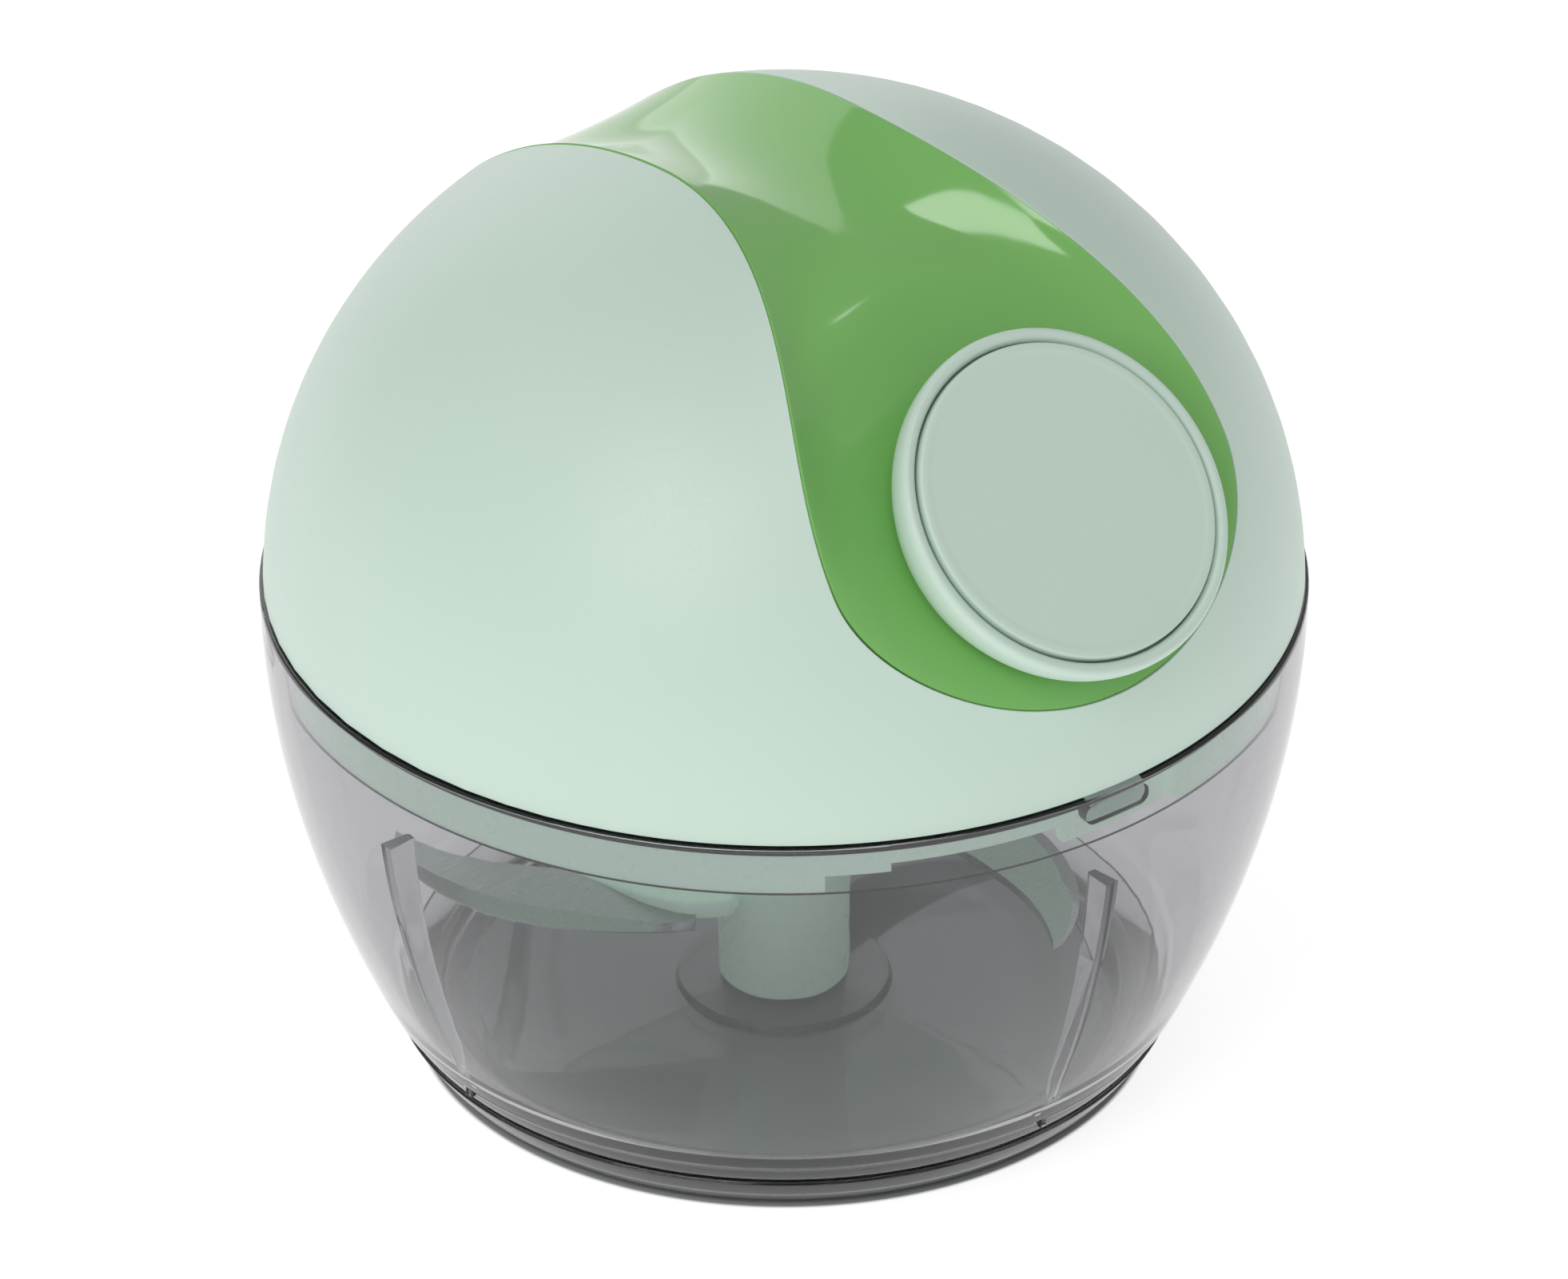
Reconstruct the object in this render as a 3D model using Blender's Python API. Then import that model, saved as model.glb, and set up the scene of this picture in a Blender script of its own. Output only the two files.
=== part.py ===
"""Hand-pulled food chopper: smoky bowl, domed lid, pull knob on a cord, recoil drive and three blades.

The origin is the middle of the underside. +Z is up and the pull knob leans towards -Y.
"""
import math

import bmesh
import bpy
from mathutils import Matrix, Vector

MM = 0.001
TAU = 2.0 * math.pi

# ---------------------------------------------------------------- driving dimensions (mm)
GAP = 0.3                    # clearance between touching pieces
ROUND_STEPS = 44             # segments round a large turned piece
SMALL_STEPS = 12             # segments round a small turned piece

BOWL_HEIGHT = 63.5           # rim of the bowl above the table
RIM_RADIUS = 65.0            # outside of the rim
FOOT_RADIUS = 46.5           # outside of the foot
BOWL_CURVE = 1.95            # exponent of the bowl's side
BOWL_WALL = 2.3
PAD_THICKNESS = 2.2
FLOOR_THICKNESS = 2.3
FLOOR_MARGIN = 7.5           # from the foot's outside to the flat part of the floor
FOOT_WIDTH = 3.0
FILLET_TOP = 14.0            # height where the inside corner meets the side
PLINTH_RADIUS = 13.4         # raised disc round the pivot
PLINTH_HEIGHT = 1.0
STUD_RADIUS = 4.0
STUD_HEIGHT = 5.2
PIN_RADIUS = 2.0
PIN_BELOW_SPLIT = 13.7       # top of the pin below the drive socket

RIB_COUNT = 4
RIB_BELOW_RIM = 14.8
RIB_ABOVE_FLOOR = 2.2
RIB_DEPTH_TOP = 4.6
RIB_DEPTH_BOTTOM = 0.9
RIB_WIDTH = 3.6

LUG_COUNT = 3
LUG_LENGTH = 9.8
LUG_HEIGHT = 2.9
LUG_BELOW_RIM = 3.2          # middle of a lug below the rim
LUG_DEPTH = 1.9
TWIST_ANGLE = 22.0           # turn that frees the lid, degrees
POCKET_AHEAD = 10.0          # end of a lug pocket past the lug, degrees
CAM_START = -35.0            # raised stretch of the skirt's lower edge, degrees from a lug
CAM_END = -6.0
CAM_RISE = 2.4

SKIRT_DEPTH = 7.3            # lower edge of the lid's skirt below the rim
SKIRT_THICKNESS = 3.5
LID_PLATE = 2.0
COLLAR_RADIUS = 9.4
SEAL_SIZE = 1.25

DOME_INSET = 0.5             # dome's edge inside the rim
DOME_HEIGHT = 61.7
DOME_WALL = 2.2

SADDLE_WALL = 2.2
SADDLE_FRONT = 11.3          # angles along the saddle, degrees, seen from the side
SADDLE_WIDEST = 34.0
SADDLE_WAIST = 95.0
SADDLE_BACK = 150.0
SADDLE_BACK_ROUND = 24.0
SADDLE_HALF_WIDTH = 31.0
WAIST_HALF_WIDTH = 14.2
VALLEY_DEPTH = 5.4
SEAT_DIP = 9.535             # flat seat under the knob, below the dome's surface

PULL_ANGLE = 44.6            # elevation of the pull direction, degrees
KNOB_MARGIN = 1.16           # rim of the flat seat left in front of the knob
KNOB_LIFT = 0.53             # back of the knob above its seat
KNOB_RADIUS = 22.35
KNOB_FLARE = 2.85            # the knob's face is this much wider than its back
KNOB_HEIGHT = 9.2
KNOB_WALL = 2.4
CAP_INSET = 2.2
CAP_THICKNESS = 1.9
CORD_RADIUS = 0.9
EYELET_ROOM = 1.0            # between cord and eyelet
EYELET_WALL = 1.4
EYELET_APPROACH = 3.0        # straight run of the cord under the saddle, into the eyelet

HUB_CLEARANCE = 0.5          # under the blade column
HUB_BOTTOM_RADIUS = 8.2
HUB_TOP_RADIUS = 8.5
HUB_BELOW_PLATE = 4.8        # top of the drive socket below the lid's plate
SOCKET_HEIGHT = 10.0
SOCKET_RADIUS = 5.3
LAND_RADIUS = 3.6
LAND_HALF_ANGLE = 42.0
TANG_HALF_WIDTH = 4.6
TANG_HALF_THICKNESS = 1.3
TANG_CLEARANCE = 0.6

BLADE_THICKNESS = 1.2
BLADE_EDGE = 0.2
BLADE_BEVEL = 2.4
ARM_HEIGHT = 5.0
ARM_REACH = 24.0
ARM_MARGIN = 1.3
BLADE_ROOT = 10.0
# name, share of the column's height, azimuth, tip clearance
BLADE_ROWS = (("blade_lower", 0.1459, 105.5, 4.31),
              ("blade_middle", 0.3634, 225.5, 3.25),
              ("blade_upper", 0.7454, 4.6, 7.26))

HOUSING_RADIUS = 29.5
HOUSING_WALL = 2.0
SPRING_HEIGHT = 6.0
SPRING_STRIP = 0.5
SPRING_TURNS = 5
SPRING_INNER = 7.2
SPRING_MARGIN = 1.4          # between the spring and its case
SPRING_HEADROOM = 2.0
CASE_MARGIN = 0.7
CASE_WALL = 1.2
FLANGE_INSET = 5.0           # flange inside the housing's outside
FLANGE_THICKNESS = 1.8
DRUM_DEPTH = 9.5             # drum below the flange's edge
DRUM_HEIGHT = 6.0
WINDING_DEPTH = 5.0          # top turn of cord below the flange's edge
POST_RADIUS = 5.5
AXLE_RADIUS = 2.5
ROTOR_INSET = 2.0            # rotor inside the flange's edge
ROTOR_WALL = 2.0
RATCHET_DEPTH = 1.8
RATCHET_TEETH = 12
ROTOR_ABOVE_PLATE = 2.8
ROTOR_HEIGHT = 9.4           # underside of the rotor to the underside of the spool
ROTOR_SHAFT_RADIUS = 6.6
WASHER_THICKNESS = 0.7
PAWL_INSET = 10.5            # pawl pins inside the rotor's edge
PAWL_PIN_RADIUS = 1.5
PAWL_THICKNESS = 4.0
PAWL_TIP_ROOM = 0.707        # pawl's tip to the root of the ratchet
PAWL_REST = 52.0             # lean of a pawl that has caught, degrees
PAWL_ROOM = 2.95             # along the ratchet, from a pawl's tip to the next tooth
GUIDE_CLEARANCE = 8.092      # centre of the cord guide outside the spool's flange
SCREW_COUNT = 3
SCREW_MARGIN = 4.5           # screws outside the housing
SCREW_RADIUS = 1.3
SCREW_HEAD_RADIUS = 2.8
POST_HEIGHT = 4.2

# ---------------------------------------------------------------- derived sizes (mm)
FLOOR_UNDER = PAD_THICKNESS + GAP
FLOOR_TOP = FLOOR_UNDER + FLOOR_THICKNESS
FLOOR_RADIUS = FOOT_RADIUS - FLOOR_MARGIN
PLINTH_TOP = FLOOR_TOP + PLINTH_HEIGHT
STUD_TOP = PLINTH_TOP + STUD_HEIGHT
RIB_TOP = BOWL_HEIGHT - RIB_BELOW_RIM
RIB_BOTTOM = FLOOR_TOP + RIB_ABOVE_FLOOR
SKIRT_BOTTOM = BOWL_HEIGHT - SKIRT_DEPTH
PLATE_UNDER = SKIRT_BOTTOM + 2.6
PLATE_TOP = PLATE_UNDER + LID_PLATE
LUG_CENTRE = BOWL_HEIGHT - LUG_BELOW_RIM
LUG_TOP = LUG_CENTRE + LUG_HEIGHT / 2.0
SEAL_BOTTOM = LUG_TOP + GAP
SEAL_TOP = SEAL_BOTTOM + SEAL_SIZE

HUB_BOTTOM = PLINTH_TOP + HUB_CLEARANCE
HUB_TOP = PLATE_UNDER - HUB_BELOW_PLATE
HUB_SPLIT = HUB_TOP - SOCKET_HEIGHT
TANG_BOTTOM = HUB_SPLIT + TANG_CLEARANCE
PIN_BOTTOM = FLOOR_UNDER + 1.8
PIN_TOP = HUB_SPLIT - PIN_BELOW_SPLIT

DOME_RADIUS = RIM_RADIUS - DOME_INSET
DOME_EDGE = BOWL_HEIGHT + GAP
DOME_CENTRE = Vector((0.0, 0.0, BOWL_HEIGHT))
LEAN = math.radians(PULL_ANGLE)
PULL_DIRECTION = Vector((0.0, -math.cos(LEAN), math.sin(LEAN)))
DOWN_THE_SEAT = Vector((0.0, -math.sin(LEAN), -math.cos(LEAN)))
DOME_REACH = math.hypot(DOME_RADIUS * math.cos(LEAN), DOME_HEIGHT * math.sin(LEAN))
SEAT_DISTANCE = DOME_REACH - SEAT_DIP
SEAT_RADIUS = math.sqrt(DOME_REACH ** 2 - SEAT_DISTANCE ** 2)
KNOB_BASE_RADIUS = KNOB_RADIUS - KNOB_FLARE
KNOB_DROP = SEAT_RADIUS - KNOB_BASE_RADIUS - KNOB_MARGIN
KNOB_RISE = SEAT_DISTANCE + KNOB_HEIGHT + KNOB_LIFT
KNOB_CENTRE = DOME_CENTRE + PULL_DIRECTION * KNOB_RISE + DOWN_THE_SEAT * KNOB_DROP
CAP_RADIUS = KNOB_RADIUS - CAP_INSET
EYELET_BORE = CORD_RADIUS + EYELET_ROOM

ROTOR_FLOOR = PLATE_TOP + ROTOR_ABOVE_PLATE
COLLAR_TOP = ROTOR_FLOOR - WASHER_THICKNESS - 2.0 * GAP
SPOOL_BOTTOM = ROTOR_FLOOR + ROTOR_HEIGHT
ROTOR_TOP = SPOOL_BOTTOM - 1.2
DRUM_BOTTOM = SPOOL_BOTTOM + FLANGE_THICKNESS
DRUM_TOP = DRUM_BOTTOM + DRUM_HEIGHT
CORD_HEIGHT = DRUM_BOTTOM + DRUM_HEIGHT / 2.0
CASE_BOTTOM = DRUM_TOP + FLANGE_THICKNESS + 2.0 * GAP
SPRING_BOTTOM = CASE_BOTTOM + CASE_WALL + GAP
SPRING_TOP = SPRING_BOTTOM + SPRING_HEIGHT
CASE_TOP = SPRING_TOP + SPRING_HEADROOM
HOUSING_TOP = CASE_TOP + GAP + HOUSING_WALL
HOUSING_FOOT = PLATE_TOP + POST_HEIGHT + GAP
CASE_RADIUS = HOUSING_RADIUS - HOUSING_WALL - CASE_MARGIN
SPRING_OUTER = CASE_RADIUS - CASE_WALL - SPRING_MARGIN
FLANGE_RADIUS = HOUSING_RADIUS - FLANGE_INSET
DRUM_RADIUS = FLANGE_RADIUS - DRUM_DEPTH
WINDING_RADIUS = FLANGE_RADIUS - WINDING_DEPTH
ROTOR_RADIUS = FLANGE_RADIUS - ROTOR_INSET
PAWL_ORBIT = ROTOR_RADIUS - PAWL_INSET
PAWL_REACH = ROTOR_RADIUS - ROTOR_WALL - PAWL_TIP_ROOM
PAWL_SIDE = PAWL_ORBIT * math.sin(math.radians(PAWL_REST))
PAWL_LENGTH = math.sqrt(PAWL_REACH ** 2 - PAWL_SIDE ** 2) - PAWL_ORBIT * math.cos(math.radians(PAWL_REST))
PAWL_TIP_ANGLE = math.degrees(math.asin(PAWL_LENGTH * math.sin(math.radians(PAWL_REST)) / PAWL_REACH))
RATCHET_START = 90.0 + PAWL_TIP_ANGLE + math.degrees(PAWL_ROOM / PAWL_REACH)
GUIDE_POINT = Vector((0.0, -FLANGE_RADIUS - GUIDE_CLEARANCE, CORD_HEIGHT))
MOUTH_DROP = KNOB_HEIGHT + KNOB_LIFT + SADDLE_WALL + EYELET_APPROACH
EYELET_MOUTH = KNOB_CENTRE - PULL_DIRECTION * MOUTH_DROP
RISING = (EYELET_MOUTH - GUIDE_POINT).normalized()
SCREW_ORBIT = HOUSING_RADIUS + SCREW_MARGIN


def bowl_outside(z):
    """Outer radius of the bowl at height z."""
    return RIM_RADIUS - (RIM_RADIUS - FOOT_RADIUS) * (1.0 - z / BOWL_HEIGHT) ** BOWL_CURVE


def bowl_inside(z):
    return bowl_outside(z) - BOWL_WALL


def blade_rows():
    """Name, height, azimuth and reach of each blade."""
    rows = []
    for name, share, azimuth, clearance in BLADE_ROWS:
        z = HUB_BOTTOM + share * (HUB_SPLIT - HUB_BOTTOM)
        rows.append((name, z, azimuth, bowl_inside(z) - clearance))
    return rows


SKIRT_RADIUS = bowl_inside(SKIRT_BOTTOM) - GAP
BLADES = blade_rows()


# ---------------------------------------------------------------- small tools
def clear_scene():
    for item in list(bpy.data.objects):
        bpy.data.objects.remove(item, do_unlink=True)


def srgb(hex_colour):
    """Linear colour of a six-digit sRGB hex string."""
    channels = [int(hex_colour[i:i + 2], 16) / 255.0 for i in (0, 2, 4)]
    return [c / 12.92 if c <= 0.04045 else ((c + 0.055) / 1.055) ** 2.4 for c in channels] + [1.0]


def material(name, colour, roughness, metallic=0.0):
    found = bpy.data.materials.get(name)
    if found:
        return found
    made = bpy.data.materials.new(name)
    made.use_nodes = True
    shader = made.node_tree.nodes["Principled BSDF"]
    shader.inputs["Base Color"].default_value = srgb(colour)
    shader.inputs["Roughness"].default_value = roughness
    shader.inputs["Metallic"].default_value = metallic
    return made


def smoky_plastic():
    return material("smoky_clear_plastic", "8E9096", 0.08)


def mint_plastic():
    return material("mint_satin_plastic", "C5D9CE", 0.45)


def green_plastic():
    return material("green_gloss_plastic", "71A85D", 0.12)


def white_plastic():
    return material("white_acetal", "E4E6E1", 0.4)


def silicone():
    return material("grey_silicone", "8A9190", 0.7)


def steel():
    return material("stainless_steel", "C2C4C6", 0.25, 1.0)


def spring_steel():
    return material("blued_spring_steel", "5C6470", 0.35, 1.0)


def cord_fibre():
    return material("braided_cord", "DCDDD8", 0.85)


def add_object(name, bm, finish, matrix=None):
    """A named object from a bmesh in millimetres, at the scene's own scale."""
    bmesh.ops.remove_doubles(bm, verts=bm.verts, dist=1e-4)
    bmesh.ops.recalc_face_normals(bm, faces=bm.faces)
    bmesh.ops.scale(bm, vec=(MM, MM, MM), verts=bm.verts)
    mesh = bpy.data.meshes.new(name)
    bm.to_mesh(mesh)
    bm.free()
    mesh.shade_smooth()
    mesh.set_sharp_from_angle(angle=math.radians(35.0))
    mesh.materials.append(finish)
    made = bpy.data.objects.new(name, mesh)
    bpy.context.collection.objects.link(made)
    if matrix is not None:
        made.matrix_world = matrix
    return made


def hide_tool(tool):
    tool.hide_render = True
    tool.display_type = "WIRE"


def cut(target, tool, operation="DIFFERENCE"):
    """A Boolean modifier that stays on its object."""
    hide_tool(tool)
    step = target.modifiers.new(tool.name, "BOOLEAN")
    step.object = tool
    step.operation = operation
    step.solver = "EXACT"


def join(target, tool):
    cut(target, tool, "UNION")


def turned(profile, steps):
    """A bmesh turned about Z from (radius, height) points; a closed loop unless it meets the axis."""
    bm = bmesh.new()
    verts = [bm.verts.new((r, 0.0, z)) for r, z in profile]
    edges = [bm.edges.new(pair) for pair in zip(verts, verts[1:])]
    if profile[0][0] > 0.0:
        edges.append(bm.edges.new((verts[-1], verts[0])))
    bmesh.ops.spin(bm, geom=verts + edges, cent=(0, 0, 0), axis=(0, 0, 1), angle=TAU, steps=steps,
                   use_merge=True)
    bmesh.ops.remove_doubles(bm, verts=bm.verts, dist=1e-4)
    return bm


def prism(bm, outline, bottom, top):
    """Add an upright prism on a plan outline."""
    lower = [bm.verts.new((x, y, bottom)) for x, y in outline]
    upper = [bm.verts.new((x, y, top)) for x, y in outline]
    bm.faces.new(lower[::-1])
    bm.faces.new(upper)
    for i in range(len(outline)):
        j = (i + 1) % len(outline)
        bm.faces.new((lower[i], lower[j], upper[j], upper[i]))


def polar(radius, degrees):
    """Plan point at an azimuth from -Y towards +X."""
    a = math.radians(degrees)
    return (radius * math.sin(a), -radius * math.cos(a))


def sector(bm, inner, outer, start, end, bottom, top, steps):
    """Add a block of a ring between two azimuths."""
    angles = [start + (end - start) * i / steps for i in range(steps + 1)]
    outline = [polar(outer, a) for a in angles] + [polar(inner, a) for a in reversed(angles)]
    prism(bm, outline, bottom, top)


def box(low, high):
    bm = bmesh.new()
    prism(bm, [(low[0], low[1]), (high[0], low[1]), (high[0], high[1]), (low[0], high[1])], low[2], high[2])
    return bm


def rod(radius, bottom, top, steps=SMALL_STEPS):
    return turned([(0.0, bottom), (radius, bottom), (radius, top), (0.0, top)], steps)


def bezier(points, steps):
    """Points on a plane Bezier curve, by repeated halving of its control polygon."""
    result = []
    for i in range(steps + 1):
        t = i / steps
        row = [Vector(p) for p in points]
        while len(row) > 1:
            row = [a.lerp(b, t) for a, b in zip(row, row[1:])]
        result.append(row[0])
    return result


def swing(bm, degrees):
    """Turn a bmesh about the bowl's axis."""
    turn = Matrix.Rotation(math.radians(degrees), 3, "Z")
    bmesh.ops.rotate(bm, verts=bm.verts, cent=(0, 0, 0), matrix=turn)


def knob_frame():
    """Places a piece turned about Z on the pull axis, its zero at the knob's face."""
    turn = PULL_DIRECTION.to_track_quat("Z", "X").to_matrix().to_4x4()
    return Matrix.Translation(KNOB_CENTRE * MM) @ turn


def upright(x=0.0, y=0.0, z=0.0, degrees=0.0):
    return Matrix.Translation((x * MM, y * MM, z * MM)) @ Matrix.Rotation(math.radians(degrees), 4, "Z")


# ---------------------------------------------------------------- bowl
def bowl_profile():
    """From the bottom of the pin's hole, over the floor and rim, to the underside."""
    outside = [(FOOT_RADIUS - 0.5, 0.5), (FOOT_RADIUS, 1.0)]
    for i in range(9):
        z = 2.0 + (BOWL_HEIGHT - 4.0) * i / 8
        outside.append((bowl_outside(z), z))
    outside += [(RIM_RADIUS, BOWL_HEIGHT - 0.9), (RIM_RADIUS - 0.4, BOWL_HEIGHT)]
    inside = [(RIM_RADIUS - BOWL_WALL + 0.4, BOWL_HEIGHT), (RIM_RADIUS - BOWL_WALL, BOWL_HEIGHT - 0.5)]
    for i in range(6):
        z = BOWL_HEIGHT - 2.0 + (FILLET_TOP - BOWL_HEIGHT + 2.0) * i / 6
        inside.append((bowl_inside(z), z))
    slope = (bowl_inside(FILLET_TOP + 1.0) - bowl_inside(FILLET_TOP))
    corner = (bowl_inside(FILLET_TOP) - slope * (FILLET_TOP - FLOOR_TOP), FLOOR_TOP)
    start = (bowl_inside(FILLET_TOP), FILLET_TOP)
    inside += [tuple(p) for p in bezier([start, corner, (FLOOR_RADIUS, FLOOR_TOP)], 4)]
    middle = [(PLINTH_RADIUS + 0.3, FLOOR_TOP), (PLINTH_RADIUS, PLINTH_TOP), (STUD_RADIUS, PLINTH_TOP),
              (STUD_RADIUS, STUD_TOP), (PIN_RADIUS + GAP, STUD_TOP), (PIN_RADIUS + GAP, PIN_BOTTOM - GAP),
              (0.0, PIN_BOTTOM - GAP)]
    foot_inner = FOOT_RADIUS - FOOT_WIDTH
    under = [(0.0, FLOOR_UNDER), (foot_inner - 0.4, FLOOR_UNDER), (foot_inner, 0.5)]
    return under + outside + inside + middle


def rib_tool():
    """Upright sawtooth ribs inside the bowl, pointed at the top and dying out downwards."""
    bm = bmesh.new()
    levels = 5
    for rib in range(RIB_COUNT):
        turn = Matrix.Rotation(TAU * rib / RIB_COUNT, 3, "Z")
        rings = []
        for i in range(levels):
            t = i / (levels - 1)
            z = RIB_BOTTOM + (RIB_TOP - RIB_BOTTOM) * t
            wall = bowl_inside(z) + 0.5 * BOWL_WALL
            depth = RIB_DEPTH_BOTTOM + (RIB_DEPTH_TOP - RIB_DEPTH_BOTTOM) * t
            half = RIB_WIDTH * (0.3 + 0.2 * t)
            inner = bowl_inside(max(z, FILLET_TOP)) - depth
            points = [(wall, -half), (wall, half), (inner, 0.35 * half)]
            rings.append([bm.verts.new(turn @ Vector((-y, -x, z))) for x, y in points])
        bm.faces.new(rings[0])
        bm.faces.new(rings[-1][::-1])
        for lower, upper in zip(rings, rings[1:]):
            for k in range(3):
                bm.faces.new((lower[k], lower[(k + 1) % 3], upper[(k + 1) % 3], upper[k]))
    return add_object("rib_tool", bm, smoky_plastic())


def lug_tool():
    """Oblong bayonet lugs inside the rim."""
    bm = bmesh.new()
    for lug in range(LUG_COUNT):
        turn = Matrix.Rotation(TAU * lug / LUG_COUNT, 3, "Z")
        straight = (LUG_LENGTH - LUG_HEIGHT) / 2.0
        outline = []
        for side, first in ((1, -90), (-1, 90)):
            for i in range(5):
                a = math.radians(first + 45 * i)
                outline.append((side * straight + LUG_HEIGHT / 2 * math.cos(a), LUG_HEIGHT / 2 * math.sin(a)))
        back = bowl_inside(LUG_CENTRE) + 0.5 * BOWL_WALL
        face = bowl_inside(LUG_CENTRE) - LUG_DEPTH
        rings = [[bm.verts.new(turn @ Vector((x, -r, LUG_CENTRE + z))) for x, z in outline]
                 for r in (back, face)]
        bm.faces.new(rings[0])
        bm.faces.new(rings[1][::-1])
        for i in range(len(outline)):
            j = (i + 1) % len(outline)
            bm.faces.new((rings[0][i], rings[0][j], rings[1][j], rings[1][i]))
    return add_object("lug_tool", bm, smoky_plastic())


def make_bowl():
    bowl = add_object("bowl", turned(bowl_profile(), ROUND_STEPS), smoky_plastic())
    join(bowl, rib_tool())
    join(bowl, lug_tool())


def make_base_pad():
    """Non-slip pad pressed up inside the foot, with a shallow grip groove."""
    edge = FOOT_RADIUS - FOOT_WIDTH - 0.4 - GAP
    groove = 0.7 * edge
    profile = [(0.0, 0.0), (groove - 1.2, 0.0), (groove - 0.8, 0.6), (groove + 0.8, 0.6), (groove + 1.2, 0.0),
               (edge - 0.8, 0.0), (edge, 0.8), (edge, PAD_THICKNESS), (0.0, PAD_THICKNESS)]
    add_object("base_pad", turned(profile, 28), silicone())


def make_pivot_pin():
    profile = [(0.0, PIN_BOTTOM), (PIN_RADIUS, PIN_BOTTOM), (PIN_RADIUS, PIN_TOP - 1.0),
               (PIN_RADIUS - 0.8, PIN_TOP - 0.2), (0.0, PIN_TOP)]
    add_object("pivot_pin", turned(profile, SMALL_STEPS), steel())


# ---------------------------------------------------------------- blades and hub
def blade_edges(reach, margin=0.0):
    """Cutting edge and back edge in plan, root to tip, the blade lying along +X."""
    k = reach / 51.4
    front = bezier([(5.5, 12.4 + margin), (22 * k, 18.0 + margin), (46 * k, 15.5 + margin),
                    (reach, -4.4)], 10)
    back = bezier([(5.5, 2.2 - margin), (32 * k, 3.6 - margin), (42 * k, 3.4 - margin), (reach, -4.4)], 10)
    return front, back


def trimmed(front, back, start, end):
    """The stretch of both edges between two distances along the blade, as one outline."""
    low = [p for p in front if start < p.x < end]
    high = [p for p in back if start < p.x < end]

    def crossing(edge, x):
        for a, b in zip(edge, edge[1:]):
            if a.x <= x <= b.x:
                return a.lerp(b, (x - a.x) / (b.x - a.x))
        return edge[-1]
    ends_front = [crossing(front, start)] + low + [crossing(front, end)]
    ends_back = [crossing(back, start)] + high + [crossing(back, end)]
    return ends_front, ends_back


def blade_mesh(reach, azimuth, z):
    """A thin curved blade with a ground bevel along its leading edge."""
    front, back = blade_edges(reach)
    tip = reach - 0.6
    front, back = trimmed(front, back, BLADE_ROOT, tip)
    full = front + back[::-1]
    ground = []
    for i, point in enumerate(front):
        share = min(1.0, 3.0 * (point.x - BLADE_ROOT) / reach) * min(1.0, 6.0 * (tip - point.x) / reach)
        ground.append(point - Vector((0.0, BLADE_BEVEL * share)))
    top = ground + back[::-1]
    bm = bmesh.new()
    levels = ((full, 0.0), (full, BLADE_EDGE), (top, BLADE_THICKNESS))
    rings = [[bm.verts.new((p.x, p.y, z - BLADE_THICKNESS / 2 + h)) for p in ring] for ring, h in levels]
    bm.faces.new(rings[0])
    bm.faces.new(rings[-1][::-1])
    for lower, upper in zip(rings, rings[1:]):
        for i in range(len(full)):
            j = (i + 1) % len(full)
            bm.faces.new((lower[i], lower[j], upper[j], upper[i]))
    swing(bm, azimuth - 90.0)
    return bm


def arm_mesh(reach, azimuth, z):
    """The moulded arm that grips a blade's root."""
    front, back = blade_edges(reach, ARM_MARGIN)
    front, back = trimmed(front, back, 5.6, ARM_REACH)
    outline = [Vector((0.0, 6.0))] + front + back[::-1] + [Vector((0.0, 0.0))]
    bm = bmesh.new()
    prism(bm, [tuple(p) for p in outline], z - ARM_HEIGHT / 2, z + ARM_HEIGHT / 2)
    swing(bm, azimuth - 90.0)
    return bm


def slot_mesh(reach, azimuth, z):
    """The room that a blade's root takes in its arm."""
    front, back = blade_edges(reach, GAP)
    front, back = trimmed(front, back, BLADE_ROOT - GAP, ARM_REACH + 4.0)
    outline = [tuple(p) for p in front + back[::-1]]
    bm = bmesh.new()
    prism(bm, outline, z - BLADE_THICKNESS / 2 - GAP, z + BLADE_THICKNESS / 2 + GAP)
    swing(bm, azimuth - 90.0)
    return bm


def make_blade_hub():
    pin_room = PIN_RADIUS + 0.4
    pin_top = PIN_TOP + 0.6
    spigot = SOCKET_RADIUS + 2 * GAP
    profile = [(HUB_BOTTOM_RADIUS - 0.4, HUB_BOTTOM), (HUB_BOTTOM_RADIUS, HUB_BOTTOM + 0.4),
               (HUB_TOP_RADIUS, HUB_SPLIT), (spigot, HUB_SPLIT), (spigot, HUB_SPLIT - 5.0),
               (pin_room, HUB_SPLIT - 5.0), (pin_room, pin_top - 1.0), (pin_room, STUD_TOP + 0.6),
               (STUD_RADIUS + 0.6, STUD_TOP + 0.6), (STUD_RADIUS + 0.6, HUB_BOTTOM)]
    hub = add_object("blade_hub", turned(profile, 20), mint_plastic())
    stud_bore = rod(STUD_RADIUS + 0.6, HUB_BOTTOM - 2.0, STUD_TOP + 0.6)
    bore = add_object("hub_bore_tool", stud_bore, mint_plastic())
    for name, z, azimuth, reach in BLADES:
        join(hub, add_object(name + "_arm_tool", arm_mesh(reach, azimuth, z), mint_plastic()))
    cut(hub, bore)
    pin_bore = rod(pin_room, HUB_BOTTOM, HUB_SPLIT - 1.0)
    cut(hub, add_object("hub_pin_tool", pin_bore, mint_plastic()))
    for name, z, azimuth, reach in BLADES:
        cut(hub, add_object(name + "_slot_tool", slot_mesh(reach, azimuth, z), mint_plastic()))


def make_blades():
    for name, z, azimuth, reach in BLADES:
        add_object(name, blade_mesh(reach, azimuth, z), steel())


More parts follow.
